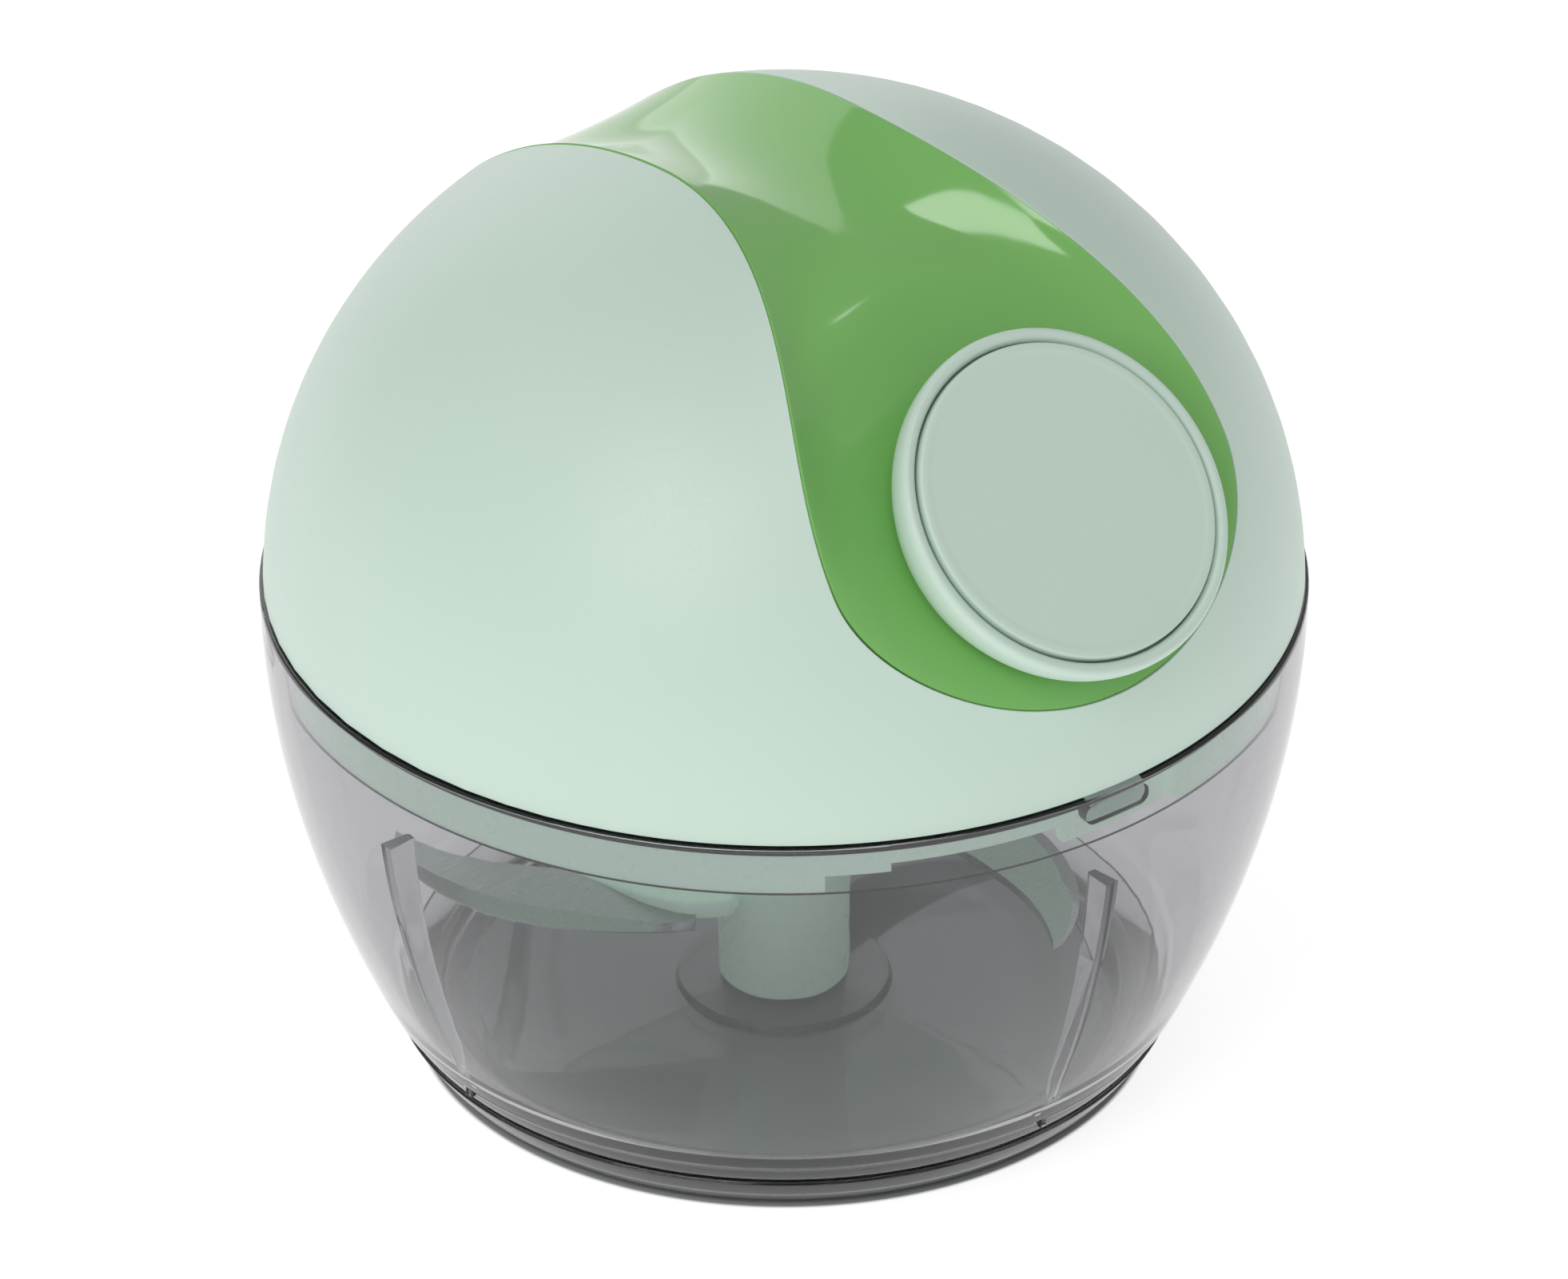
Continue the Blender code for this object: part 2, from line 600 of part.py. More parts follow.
def make_drive_socket():
    """Top of the blade column, with two lands that the rotor's tang pushes."""
    outer = HUB_TOP_RADIUS
    spigot = SOCKET_RADIUS + GAP
    bottom = HUB_SPLIT + GAP
    profile = [(0.0, bottom - 4.6), (spigot, bottom - 4.6), (spigot, bottom), (outer, bottom),
               (outer, HUB_TOP - 0.5), (outer - 0.5, HUB_TOP), (SOCKET_RADIUS + 0.6, HUB_TOP),
               (SOCKET_RADIUS, HUB_TOP - 0.6), (SOCKET_RADIUS, bottom - 1.0), (0.0, bottom - 1.0)]
    socket = add_object("drive_socket", turned(profile, 20), mint_plastic())
    bm = bmesh.new()
    for middle in (0.0, 180.0):
        start = middle - LAND_HALF_ANGLE
        end = start + 2 * LAND_HALF_ANGLE
        sector(bm, LAND_RADIUS, SOCKET_RADIUS + 1.0, start, end, bottom + 0.4, HUB_TOP - 1.2, 4)
    join(socket, add_object("socket_land_tool", bm, mint_plastic()))


# ---------------------------------------------------------------- lid
def make_lid_seal():
    outer = bowl_inside(SEAL_BOTTOM) - GAP
    inner = outer - SEAL_SIZE
    corner = 0.3
    profile = [(inner, SEAL_BOTTOM), (outer - corner, SEAL_BOTTOM), (outer, SEAL_BOTTOM + corner),
               (outer, SEAL_TOP - corner), (outer - corner, SEAL_TOP), (inner, SEAL_TOP)]
    add_object("lid_seal", turned(profile, ROUND_STEPS), silicone())


def make_lid_base():
    """Skirt, plate and bearing collar that close the bowl, with an upstand that the dome snaps over."""
    skirt_inner = SKIRT_RADIUS - SKIRT_THICKNESS
    notch = bowl_inside(SEAL_BOTTOM) - SEAL_SIZE - 2 * GAP
    upstand = skirt_inner + 1.9
    bead_bottom = DOME_EDGE + 1.9
    bore = ROTOR_SHAFT_RADIUS + 0.6
    seat = SEAL_BOTTOM - GAP
    profile = [(bore, PLATE_UNDER - 1.2), (COLLAR_RADIUS, PLATE_UNDER - 1.2),
               (COLLAR_RADIUS + 0.6, PLATE_UNDER), (skirt_inner, PLATE_UNDER),
               (skirt_inner + 0.3, SKIRT_BOTTOM),
               (SKIRT_RADIUS - 0.3, SKIRT_BOTTOM), (SKIRT_RADIUS, SKIRT_BOTTOM + 0.3), (SKIRT_RADIUS, seat),
               (notch, seat),
               (notch, DOME_EDGE - 0.6), (upstand, DOME_EDGE - 0.6), (upstand, bead_bottom),
               (upstand + 0.8, bead_bottom + 0.2), (upstand + 0.8, bead_bottom + 0.8),
               (upstand, bead_bottom + 1.4),
               (skirt_inner, bead_bottom + 1.4), (skirt_inner, PLATE_TOP), (COLLAR_RADIUS + 0.6, PLATE_TOP),
               (COLLAR_RADIUS, COLLAR_TOP), (bore, COLLAR_TOP)]
    lid = add_object("lid_base", turned(profile, ROUND_STEPS), mint_plastic())
    pockets = bmesh.new()
    cams = bmesh.new()
    floor_radius = bowl_inside(LUG_CENTRE) - LUG_DEPTH - 0.4
    half_lug = math.degrees(LUG_LENGTH / 2.0 / floor_radius)
    for lug in range(LUG_COUNT):
        at = 360.0 * lug / LUG_COUNT
        sector(pockets, floor_radius, RIM_RADIUS, at - TWIST_ANGLE - half_lug - 1.0, at + POCKET_AHEAD,
               SKIRT_BOTTOM - 1.0, LUG_TOP + 0.2, 6)
        sector(cams, skirt_inner - 0.4, RIM_RADIUS, at + CAM_START, at + CAM_END, SKIRT_BOTTOM - 1.0,
               SKIRT_BOTTOM + CAM_RISE, 5)
    cut(lid, add_object("pocket_tool", pockets, mint_plastic()))
    cut(lid, add_object("cam_tool", cams, mint_plastic()))
    for i in range(SCREW_COUNT):
        x, y = polar(SCREW_ORBIT, 60.0 + 360.0 * i / SCREW_COUNT)
        post = rod(3.2, PLATE_TOP - 1.0, PLATE_TOP + POST_HEIGHT, 16)
        join(lid, add_object("post_tool_%d" % i, post, mint_plastic(), upright(x, y)))
        hole = rod(SCREW_RADIUS + GAP, PLATE_TOP - 0.4, PLATE_TOP + POST_HEIGHT + 1.0, 12)
        cut(lid, add_object("post_hole_tool_%d" % i, hole, mint_plastic(), upright(x, y)))


def dome_profile():
    """Outside of the dome from its top to its edge, then back up the inside, with a snap ridge."""
    steps = 14
    start = math.asin((DOME_EDGE - BOWL_HEIGHT) / DOME_HEIGHT)
    outside = []
    inside = []
    for i in range(steps + 1):
        a = math.pi / 2 + (start - math.pi / 2) * i / steps
        outside.append((max(0.0, DOME_RADIUS * math.cos(a)), BOWL_HEIGHT + DOME_HEIGHT * math.sin(a)))
    outside[0] = (0.0, outside[0][1])
    first = math.asin(4.0 / DOME_HEIGHT)
    for i in range(steps + 1):
        a = first + (math.pi / 2 - first) * i / steps
        height = (DOME_HEIGHT - DOME_WALL) * math.sin(a)
        inside.append(((DOME_RADIUS - DOME_WALL) * math.cos(a), BOWL_HEIGHT + height))
    inside[-1] = (0.0, inside[-1][1])
    wall = DOME_RADIUS - DOME_WALL
    ridge = SKIRT_RADIUS - SKIRT_THICKNESS + 1.9 + GAP
    snap = [(wall, DOME_EDGE), (wall, DOME_EDGE + 0.4), (ridge, DOME_EDGE + 0.6), (ridge, DOME_EDGE + 1.3),
            (wall, DOME_EDGE + 1.9)]
    return outside + snap + inside


def saddle_outline(margin):
    """Rows of (side angle, half width) along the saddle, drawn in by a margin."""
    turn = math.degrees(margin / DOME_RADIUS)
    wide = SADDLE_HALF_WIDTH - margin
    waist = WAIST_HALF_WIDTH - margin
    back = SADDLE_BACK - SADDLE_BACK_ROUND
    rows = []
    for i in range(7):
        a = math.pi / 2 * i / 7
        rows.append((SADDLE_WIDEST - (SADDLE_WIDEST - SADDLE_FRONT - turn) * math.cos(a), wide * math.sin(a)))
    for i in range(8):
        u = i / 8
        width = waist + (wide - waist) * 0.5 * (1.0 + math.cos(math.pi * u))
        rows.append((SADDLE_WIDEST + (SADDLE_WAIST - SADDLE_WIDEST) * u, width))
    for i in range(3):
        rows.append((SADDLE_WAIST + (back - SADDLE_WAIST) * i / 3, waist))
    for i in range(6):
        a = math.pi / 2 * i / 5
        rows.append((back + (SADDLE_BACK_ROUND - turn) * math.sin(a), waist * math.cos(a)))
    return rows


def dome_point(angle, x, shrink=0.0):
    """Point of the dome's surface, relative to its middle, at a side angle and an offset x."""
    radius = DOME_RADIUS - shrink
    height = DOME_HEIGHT - shrink
    share = math.sqrt(max(0.0, 1.0 - (x / radius) ** 2))
    a = math.radians(angle)
    return Vector((x, -share * radius * math.cos(a), share * height * math.sin(a)))


def smoothstep(low, high, value):
    t = min(1.0, max(0.0, (value - low) / (high - low)))
    return t * t * (3.0 - 2.0 * t)


def saddle_depth(angle, v, surface):
    """How far the saddle dips below the dome, as a share of the distance to the dome's middle."""
    flat = max(0.0, 1.0 - SEAT_DISTANCE / max(1.0, PULL_DIRECTION.dot(surface)))
    valley = VALLEY_DEPTH / surface.length * smoothstep(30.0, 78.0, angle)
    valley *= 1.0 - smoothstep(SADDLE_BACK - 35.0, SADDLE_BACK, angle)
    blend = 0.02
    near = max(0.0, 1.0 - abs(flat - valley) / blend) * smoothstep(30.0, 45.0, angle)
    deep = max(flat, valley) + 0.25 * blend * near * near
    power = 2.0 + 12.0 * (1.0 - smoothstep(45.0, 80.0, angle))
    return deep * (1.0 - abs(v) ** power)


def saddle_slab(columns, margin, outer_scale, inner_scale, thickness):
    """A slab on the saddle's outline. With a thickness it follows the saddle's dip."""
    bm = bmesh.new()
    outer = []
    inner = []
    for angle, width in saddle_outline(margin):
        outer.append([])
        inner.append([])
        for j in range(columns + 1):
            v = -1.0 + 2.0 * j / columns
            surface = dome_point(angle, v * width)
            shares = (outer_scale, inner_scale)
            if thickness:
                dip = 1.0 - saddle_depth(angle, v, surface)
                shares = (dip, dip - thickness / surface.length)
            outer[-1].append(bm.verts.new(DOME_CENTRE + surface * shares[0]))
            inner[-1].append(bm.verts.new(DOME_CENTRE + surface * shares[1]))
    for i in range(len(outer) - 1):
        for j in range(columns):
            bm.faces.new((outer[i][j], outer[i][j + 1], outer[i + 1][j + 1], outer[i + 1][j]))
            bm.faces.new((inner[i][j], inner[i + 1][j], inner[i + 1][j + 1], inner[i][j + 1]))
        for j in (0, columns):
            bm.faces.new((outer[i][j], outer[i + 1][j], inner[i + 1][j], inner[i][j]))
    bmesh.ops.remove_doubles(bm, verts=bm.verts, dist=1e-3)
    bmesh.ops.dissolve_degenerate(bm, edges=bm.edges, dist=1e-3)
    return bm


def make_dome_shell():
    dome = add_object("dome_shell", turned(dome_profile(), ROUND_STEPS), mint_plastic())
    opening = saddle_slab(4, 0.0, 1.2, 0.75, 0.0)
    cut(dome, add_object("opening_tool", opening, mint_plastic()))


def make_saddle_cover():
    cover = add_object("saddle_cover", saddle_slab(10, GAP, 1.0, 1.0, SADDLE_WALL), green_plastic())
    hole = rod(EYELET_BORE + EYELET_WALL + GAP, -22.0, 0.0)
    cut(cover, add_object("eyelet_hole_tool", hole, green_plastic(), knob_frame()))


def seat_offset():
    """The seat's place along the pull axis, counted from the knob's face."""
    return SEAT_DISTANCE - PULL_DIRECTION.dot(KNOB_CENTRE - DOME_CENTRE)


def make_cord_eyelet():
    top = seat_offset() - 0.1
    under = seat_offset() - SADDLE_WALL - GAP
    barrel = EYELET_BORE + EYELET_WALL
    profile = [(EYELET_BORE, under - 1.2), (EYELET_BORE, top - 0.5), (EYELET_BORE + 0.5, top), (barrel, top),
               (barrel, under), (barrel + 2.0, under), (barrel + 2.0, under - 1.2)]
    add_object("cord_eyelet", turned(profile, SMALL_STEPS), steel(), knob_frame())


# ---------------------------------------------------------------- recoil drive inside the lid
def make_drive_housing():
    """Inverted cup over the spool, with a window for the cord and three screwed feet."""
    inner = HOUSING_RADIUS - HOUSING_WALL
    under = HOUSING_TOP - HOUSING_WALL
    bore = AXLE_RADIUS + GAP
    profile = [(bore, under), (inner, under), (inner, HOUSING_FOOT), (HOUSING_RADIUS, HOUSING_FOOT),
               (HOUSING_RADIUS, HOUSING_TOP - 1.5), (HOUSING_RADIUS - 1.5, HOUSING_TOP), (bore, HOUSING_TOP)]
    housing = add_object("drive_housing", turned(profile, 28), white_plastic())
    window = box((-16.0, -HOUSING_RADIUS - 3.0, CORD_HEIGHT - 6.3), (7.5, -20.0, CORD_HEIGHT + 6.3))
    bracket = box((-4.5, GUIDE_POINT.y - 4.5, CORD_HEIGHT - 8.6), (4.5, -inner - 0.6, CORD_HEIGHT - 6.6))
    join(housing, add_object("bracket_tool", bracket, white_plastic()))
    cut(housing, add_object("window_tool", window, white_plastic()))
    for i in range(SCREW_COUNT):
        azimuth = 60.0 + 360.0 * i / SCREW_COUNT
        bm = bmesh.new()
        sector(bm, inner + 0.5, SCREW_ORBIT + 4.0, azimuth - 7.0, azimuth + 7.0,
               HOUSING_FOOT, HOUSING_FOOT + 2.0, 3)
        join(housing, add_object("foot_tool_%d" % i, bm, white_plastic()))
        x, y = polar(SCREW_ORBIT, azimuth)
        hole = rod(SCREW_RADIUS + GAP, HOUSING_FOOT - 1.0, HOUSING_FOOT + 3.0, 12)
        cut(housing, add_object("foot_hole_tool_%d" % i, hole, white_plastic(), upright(x, y)))


def make_screws():
    head = HOUSING_FOOT + 2.0 + GAP
    for i in range(SCREW_COUNT):
        x, y = polar(SCREW_ORBIT, 60.0 + 360.0 * i / SCREW_COUNT)
        profile = [(0.0, PLATE_TOP), (SCREW_RADIUS, PLATE_TOP + 0.6), (SCREW_RADIUS, head),
                   (SCREW_HEAD_RADIUS, head), (SCREW_HEAD_RADIUS, head + 1.0),
                   (SCREW_HEAD_RADIUS - 0.8, head + 1.8), (0.0, head + 1.8)]
        add_object("housing_screw_%d" % (i + 1), turned(profile, 10), steel(), upright(x, y))


def make_spring_case():
    bore = POST_RADIUS + 2 * GAP
    profile = [(bore, CASE_BOTTOM), (CASE_RADIUS, CASE_BOTTOM), (CASE_RADIUS, CASE_TOP),
               (CASE_RADIUS - CASE_WALL, CASE_TOP), (CASE_RADIUS - CASE_WALL, CASE_BOTTOM + CASE_WALL),
               (bore, CASE_BOTTOM + CASE_WALL)]
    add_object("spring_case", turned(profile, 24), white_plastic())


def make_recoil_spring():
    """Flat strip wound into a spiral."""
    per_turn = 12
    count = SPRING_TURNS * per_turn
    bm = bmesh.new()
    inner = []
    outer = []
    for i in range(count + 1):
        a = TAU * i / per_turn
        r = SPRING_INNER + (SPRING_OUTER - SPRING_INNER) * i / count
        inner.append(((r - SPRING_STRIP / 2) * math.cos(a), (r - SPRING_STRIP / 2) * math.sin(a)))
        outer.append(((r + SPRING_STRIP / 2) * math.cos(a), (r + SPRING_STRIP / 2) * math.sin(a)))
    rings = [[bm.verts.new((x, y, z)) for x, y in line]
             for z in (SPRING_BOTTOM, SPRING_TOP) for line in (inner, outer)]
    low_in, low_out, high_in, high_out = rings
    for i in range(count):
        bm.faces.new((low_in[i], low_in[i + 1], low_out[i + 1], low_out[i]))
        bm.faces.new((high_in[i], high_out[i], high_out[i + 1], high_in[i + 1]))
        bm.faces.new((low_out[i], low_out[i + 1], high_out[i + 1], high_out[i]))
        bm.faces.new((low_in[i], high_in[i], high_in[i + 1], low_in[i + 1]))
    for k in (0, -1):
        bm.faces.new((low_in[k], low_out[k], high_out[k], high_in[k]))
    add_object("recoil_spring", bm, spring_steel())


def make_centre_axle():
    head = HOUSING_TOP + GAP
    bottom = PLATE_TOP + 1.0
    profile = [(0.0, bottom), (AXLE_RADIUS - 0.4, bottom), (AXLE_RADIUS, bottom + 0.4), (AXLE_RADIUS, head),
               (5.0, head), (5.0, head + 1.4), (4.2, head + 2.0), (0.0, head + 2.0)]
    add_object("centre_axle", turned(profile, SMALL_STEPS), steel())


def make_spool():
    """Cord drum with two flanges, a post for the spring and two pawl pins."""
    bore = AXLE_RADIUS + GAP
    upper = DRUM_TOP + FLANGE_THICKNESS
    profile = [(bore, SPOOL_BOTTOM), (FLANGE_RADIUS, SPOOL_BOTTOM), (FLANGE_RADIUS, DRUM_BOTTOM),
               (DRUM_RADIUS, DRUM_BOTTOM), (DRUM_RADIUS, DRUM_TOP), (FLANGE_RADIUS, DRUM_TOP),
               (FLANGE_RADIUS, upper), (POST_RADIUS, upper), (POST_RADIUS, SPRING_TOP), (bore, SPRING_TOP)]
    spool = add_object("spool", turned(profile, 24), white_plastic())
    for side in (0, 1):
        pin = rod(PAWL_PIN_RADIUS, SPOOL_BOTTOM - 2.0 * GAP - PAWL_THICKNESS - 1.0, SPOOL_BOTTOM + 0.8, 10)
        x = PAWL_ORBIT * (1 - 2 * side)
        join(spool, add_object("pawl_pin_tool_%d" % side, pin, white_plastic(), upright(x)))


def make_cord_winding():
    profile = [(DRUM_RADIUS + GAP, DRUM_BOTTOM + GAP), (WINDING_RADIUS - 0.8, DRUM_BOTTOM + GAP),
               (WINDING_RADIUS, DRUM_BOTTOM + 1.1), (WINDING_RADIUS, DRUM_TOP - 1.1),
               (WINDING_RADIUS - 0.8, DRUM_TOP - GAP), (DRUM_RADIUS + GAP, DRUM_TOP - GAP)]
    add_object("cord_winding", turned(profile, 20), cord_fibre())


def make_pawls():
    """Two hooked pawls that trail on the spool's pins and catch the rotor's ratchet."""
    top = SPOOL_BOTTOM - 2.0 * GAP
    eye = PAWL_PIN_RADIUS + GAP
    outer = eye + 1.6
    for side, name in enumerate(("pawl_a", "pawl_b")):
        bm = bmesh.new()
        outline = []
        for i in range(6):
            a = math.radians(70.0 + 40.0 * i)
            outline.append((outer * math.cos(a), outer * math.sin(a)))
        outline += [(PAWL_LENGTH * 0.35, -2.3), (PAWL_LENGTH * 0.9, -0.6), (PAWL_LENGTH, -0.1),
                    (PAWL_LENGTH * 0.97, 0.7), (PAWL_LENGTH * 0.4, 2.6)]
        prism(bm, outline, top - PAWL_THICKNESS, top)
        swing(bm, PAWL_REST)
        turn = 180.0 * side
        place = upright(PAWL_ORBIT * (1 - 2 * side), 0.0, 0.0, turn)
        pawl = add_object(name, bm, steel(), place)
        hole = rod(eye, top - PAWL_THICKNESS - 1.0, top + 1.0, 10)
        cut(pawl, add_object(name + "_eye_tool", hole, steel(), upright(PAWL_ORBIT * (1 - 2 * side))))


def make_drive_rotor():
    """Ratchet cup, shaft and driving tang."""
    inner = ROTOR_RADIUS - ROTOR_WALL
    floor_top = ROTOR_FLOOR + 2.0
    bore = AXLE_RADIUS + GAP
    blind = PLATE_TOP + 1.0 - GAP
    shaft_end = HUB_TOP + 0.6
    neck = TANG_HALF_WIDTH + 0.25
    profile = [(0.0, blind), (bore, blind), (bore, floor_top), (inner, floor_top), (inner, ROTOR_TOP),
               (ROTOR_RADIUS, ROTOR_TOP), (ROTOR_RADIUS, ROTOR_FLOOR), (ROTOR_SHAFT_RADIUS, ROTOR_FLOOR),
               (ROTOR_SHAFT_RADIUS, PLATE_UNDER - 1.6), (neck, PLATE_UNDER - 2.4), (neck, shaft_end),
               (0.0, shaft_end)]
    rotor = add_object("drive_rotor", turned(profile, 24), white_plastic())
    teeth = bmesh.new()
    for i in range(RATCHET_TEETH):
        start = RATCHET_START + 360.0 * i / RATCHET_TEETH
        root = inner + 0.6
        outline = [polar(root, start), polar(root, start + 22.0), polar(inner - RATCHET_DEPTH, start)]
        prism(teeth, outline, floor_top - 0.5, ROTOR_TOP - 0.3)
    join(rotor, add_object("ratchet_tool", teeth, white_plastic()))
    tang = box((-TANG_HALF_WIDTH, -TANG_HALF_THICKNESS, TANG_BOTTOM),
               (TANG_HALF_WIDTH, TANG_HALF_THICKNESS, shaft_end + 0.5))
    join(rotor, add_object("tang_tool", tang, white_plastic()))


def make_rotor_washer():
    bottom = COLLAR_TOP + GAP
    top = bottom + WASHER_THICKNESS
    inner = ROTOR_SHAFT_RADIUS + GAP
    outer = COLLAR_RADIUS + 1.0
    profile = [(inner, bottom), (outer, bottom), (outer, top), (inner, top)]
    add_object("rotor_washer", turned(profile, 24), steel())


# ---------------------------------------------------------------- cord and pull knob
def spool_side():
    """The point where the cord leaves its winding, and its direction there."""
    orbit = WINDING_RADIUS + CORD_RADIUS + GAP
    azimuth = -math.degrees(math.acos(-orbit / GUIDE_POINT.y))
    x, y = polar(orbit, azimuth)
    start = Vector((x, y, CORD_HEIGHT))
    return start, (GUIDE_POINT - start).normalized()


def make_cord_guide():
    """Smooth ring that turns the cord up from the spool's level to the eyelet."""
    leaving = spool_side()[1]
    axis = (leaving + RISING).normalized()
    ring = 4.0
    tube = 1.5
    profile = [(ring + tube * math.cos(TAU * i / 8), tube * math.sin(TAU * i / 8)) for i in range(8)]
    place = Matrix.Translation(GUIDE_POINT * MM) @ axis.to_track_quat("Z", "X").to_matrix().to_4x4()
    add_object("cord_guide", turned(profile, 16), steel(), place)


def make_cord_run():
    """The stretch of cord from the winding through guide and eyelet to the knot in the knob."""
    start, leaving = spool_side()
    bend = 4.0
    end = KNOB_CENTRE - PULL_DIRECTION * (KNOB_HEIGHT - KNOB_WALL - GAP)
    turn = bezier([GUIDE_POINT - leaving * bend, GUIDE_POINT, GUIDE_POINT + RISING * bend], 6)
    points = [start.lerp(turn[0], i / 6) for i in range(6)] + turn
    points += [turn[-1].lerp(EYELET_MOUTH, (i + 1) / 4) for i in range(4)]
    points += [EYELET_MOUTH.lerp(end, (i + 1) / 4) for i in range(4)]
    curve = bpy.data.curves.new("cord_run", "CURVE")
    curve.dimensions = "3D"
    curve.bevel_depth = CORD_RADIUS * MM
    curve.bevel_resolution = 2
    curve.use_fill_caps = True
    spline = curve.splines.new("POLY")
    spline.points.add(len(points) - 1)
    for item, point in zip(spline.points, points):
        item.co = (*(point * MM), 1.0)
    curve.materials.append(cord_fibre())
    bpy.context.collection.objects.link(bpy.data.objects.new("cord_run", curve))


def make_handle_body():
    """Round knob, a cup that is open towards its cap."""
    lip = -0.4
    bottom = -KNOB_HEIGHT
    side = []
    for i in range(5):
        t = i / 4
        bulge = math.sin(math.pi * t / 2)
        side.append((KNOB_BASE_RADIUS + KNOB_FLARE * bulge, bottom + 0.6 + (KNOB_HEIGHT - 1.9) * t))
    ledge = -CAP_THICKNESS - GAP
    inner = KNOB_BASE_RADIUS - 1.6
    hole = CORD_RADIUS + 0.5
    profile = [(hole, bottom), (KNOB_BASE_RADIUS - 0.8, bottom)] + side
    profile += [(KNOB_RADIUS - 0.5, lip), (CAP_RADIUS + 0.5, lip), (CAP_RADIUS + 0.5, ledge), (inner, ledge),
                (inner, bottom + KNOB_WALL), (hole, bottom + KNOB_WALL)]
    add_object("handle_body", turned(profile, 32), mint_plastic(), knob_frame())


def make_handle_cap():
    profile = [(0.0, 0.0), (CAP_RADIUS - 0.4, 0.0), (CAP_RADIUS, -0.4), (CAP_RADIUS, -CAP_THICKNESS),
               (KNOB_BASE_RADIUS - 2.0, -CAP_THICKNESS), (KNOB_BASE_RADIUS - 2.0, -CAP_THICKNESS - 1.6),
               (KNOB_BASE_RADIUS - 3.4, -CAP_THICKNESS - 1.6), (KNOB_BASE_RADIUS - 3.4, -CAP_THICKNESS),
               (0.0, -CAP_THICKNESS)]
    add_object("handle_cap", turned(profile, 32), mint_plastic(), knob_frame())


def make_cord_knot():
    """Knot that holds the cord's end above the hole in the knob."""
    bottom = -KNOB_HEIGHT + KNOB_WALL + GAP
    radius = 1.9
    turns = [math.pi * i / 6 for i in range(7)]
    profile = [(radius * math.sin(a), bottom + radius * (1.0 - math.cos(a))) for a in turns]
    profile[0] = (0.0, bottom)
    profile[-1] = (0.0, bottom + 2 * radius)
    add_object("cord_knot", turned(profile, 10), cord_fibre(), knob_frame())


def build():
    clear_scene()
    make_bowl()
    make_base_pad()
    make_pivot_pin()
    make_blade_hub()
    make_blades()
    make_drive_socket()
    make_lid_seal()
    make_lid_base()
    make_dome_shell()
    make_saddle_cover()
    make_cord_eyelet()
    make_drive_housing()
    make_screws()
    make_spring_case()
    make_recoil_spring()
    make_centre_axle()
    make_spool()
    make_cord_winding()
    make_pawls()
    make_drive_rotor()
    make_rotor_washer()
    make_cord_guide()
    make_cord_run()
    make_handle_body()
    make_handle_cap()
    make_cord_knot()


build()
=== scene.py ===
"""Looks of a hand-pulled food chopper: smoky bowl, satin mint dome, glossy green saddle and pull knob."""
import math

import bmesh
import bpy
from mathutils import Matrix, Vector


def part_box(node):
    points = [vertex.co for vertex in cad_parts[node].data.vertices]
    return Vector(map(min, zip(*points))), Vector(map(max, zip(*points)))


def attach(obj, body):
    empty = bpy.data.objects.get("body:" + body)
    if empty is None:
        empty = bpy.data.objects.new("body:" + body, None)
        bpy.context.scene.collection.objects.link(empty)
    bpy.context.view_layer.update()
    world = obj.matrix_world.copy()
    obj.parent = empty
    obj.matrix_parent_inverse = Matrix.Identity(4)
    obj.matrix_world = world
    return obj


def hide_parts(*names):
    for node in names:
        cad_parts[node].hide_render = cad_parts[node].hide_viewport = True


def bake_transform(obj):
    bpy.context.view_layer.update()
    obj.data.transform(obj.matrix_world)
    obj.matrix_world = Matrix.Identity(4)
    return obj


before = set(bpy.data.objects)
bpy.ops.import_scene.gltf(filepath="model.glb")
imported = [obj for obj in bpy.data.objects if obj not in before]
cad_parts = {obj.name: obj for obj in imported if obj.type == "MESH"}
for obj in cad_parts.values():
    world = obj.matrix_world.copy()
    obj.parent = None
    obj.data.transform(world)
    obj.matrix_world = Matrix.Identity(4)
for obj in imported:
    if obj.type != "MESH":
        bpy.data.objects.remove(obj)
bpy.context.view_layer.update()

MM = 0.001
TAU = 2.0 * math.pi
FINE_STEPS = 176             # segments round a large turned piece
SMALL_STEPS = 64             # segments round a small turned piece

# ---------------------------------------------------------------- sizes from the frame (mm)
BOWL_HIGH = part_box("bowl")[1] / MM
RIM_RADIUS = BOWL_HIGH.x
BOWL_HEIGHT = BOWL_HIGH.z
HUB_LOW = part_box("blade_hub")[0] / MM
SOCKET_LOW, SOCKET_HIGH = (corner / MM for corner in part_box("drive_socket"))
LID_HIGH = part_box("lid_base")[1] / MM
PAD_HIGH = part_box("base_pad")[1] / MM
SEAL_LOW, SEAL_HIGH = (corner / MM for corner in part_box("lid_seal"))

# ---------------------------------------------------------------- sizes the boxes don't give (mm)
GAP = 0.3                    # room between neighbouring parts
FOOT_RADIUS = 46.5
BOWL_CURVE = 1.95            # power of the bowl's side: 1 is a cone
BOWL_WALL = 2.3
FLOOR_UNDER = PAD_HIGH.z + GAP
FLOOR_TOP = FLOOR_UNDER + BOWL_WALL
FLOOR_RADIUS = 39.0
FILLET_TOP = 14.0            # where the side wall starts to turn into the floor
PLINTH_RADIUS = 13.4
PLINTH_TOP = FLOOR_TOP + 1.0
STUD_RADIUS = 4.0
STUD_TOP = PLINTH_TOP + 5.2
PIN_BORE = 2.3
PIN_BOTTOM = 4.0
RIB_COUNT = 4
RIB_TOP = 48.7
RIB_BOTTOM = 7.0
RIB_DEPTH_TOP = 3.7
RIB_DEPTH_BOTTOM = 0.9
RIB_WIDTH = 2.0
LUG_COUNT = 3
LUG_LENGTH = 9.8
LUG_HEIGHT = 2.9
LUG_CENTRE = BOWL_HEIGHT - 3.2
LUG_DEPTH = 1.9
SKIRT_BOTTOM = BOWL_HEIGHT - 7.3
SKIRT_THICKNESS = 3.5
PLATE_UNDER = SKIRT_BOTTOM + 2.6
PLATE_TOP = PLATE_UNDER + 2.0
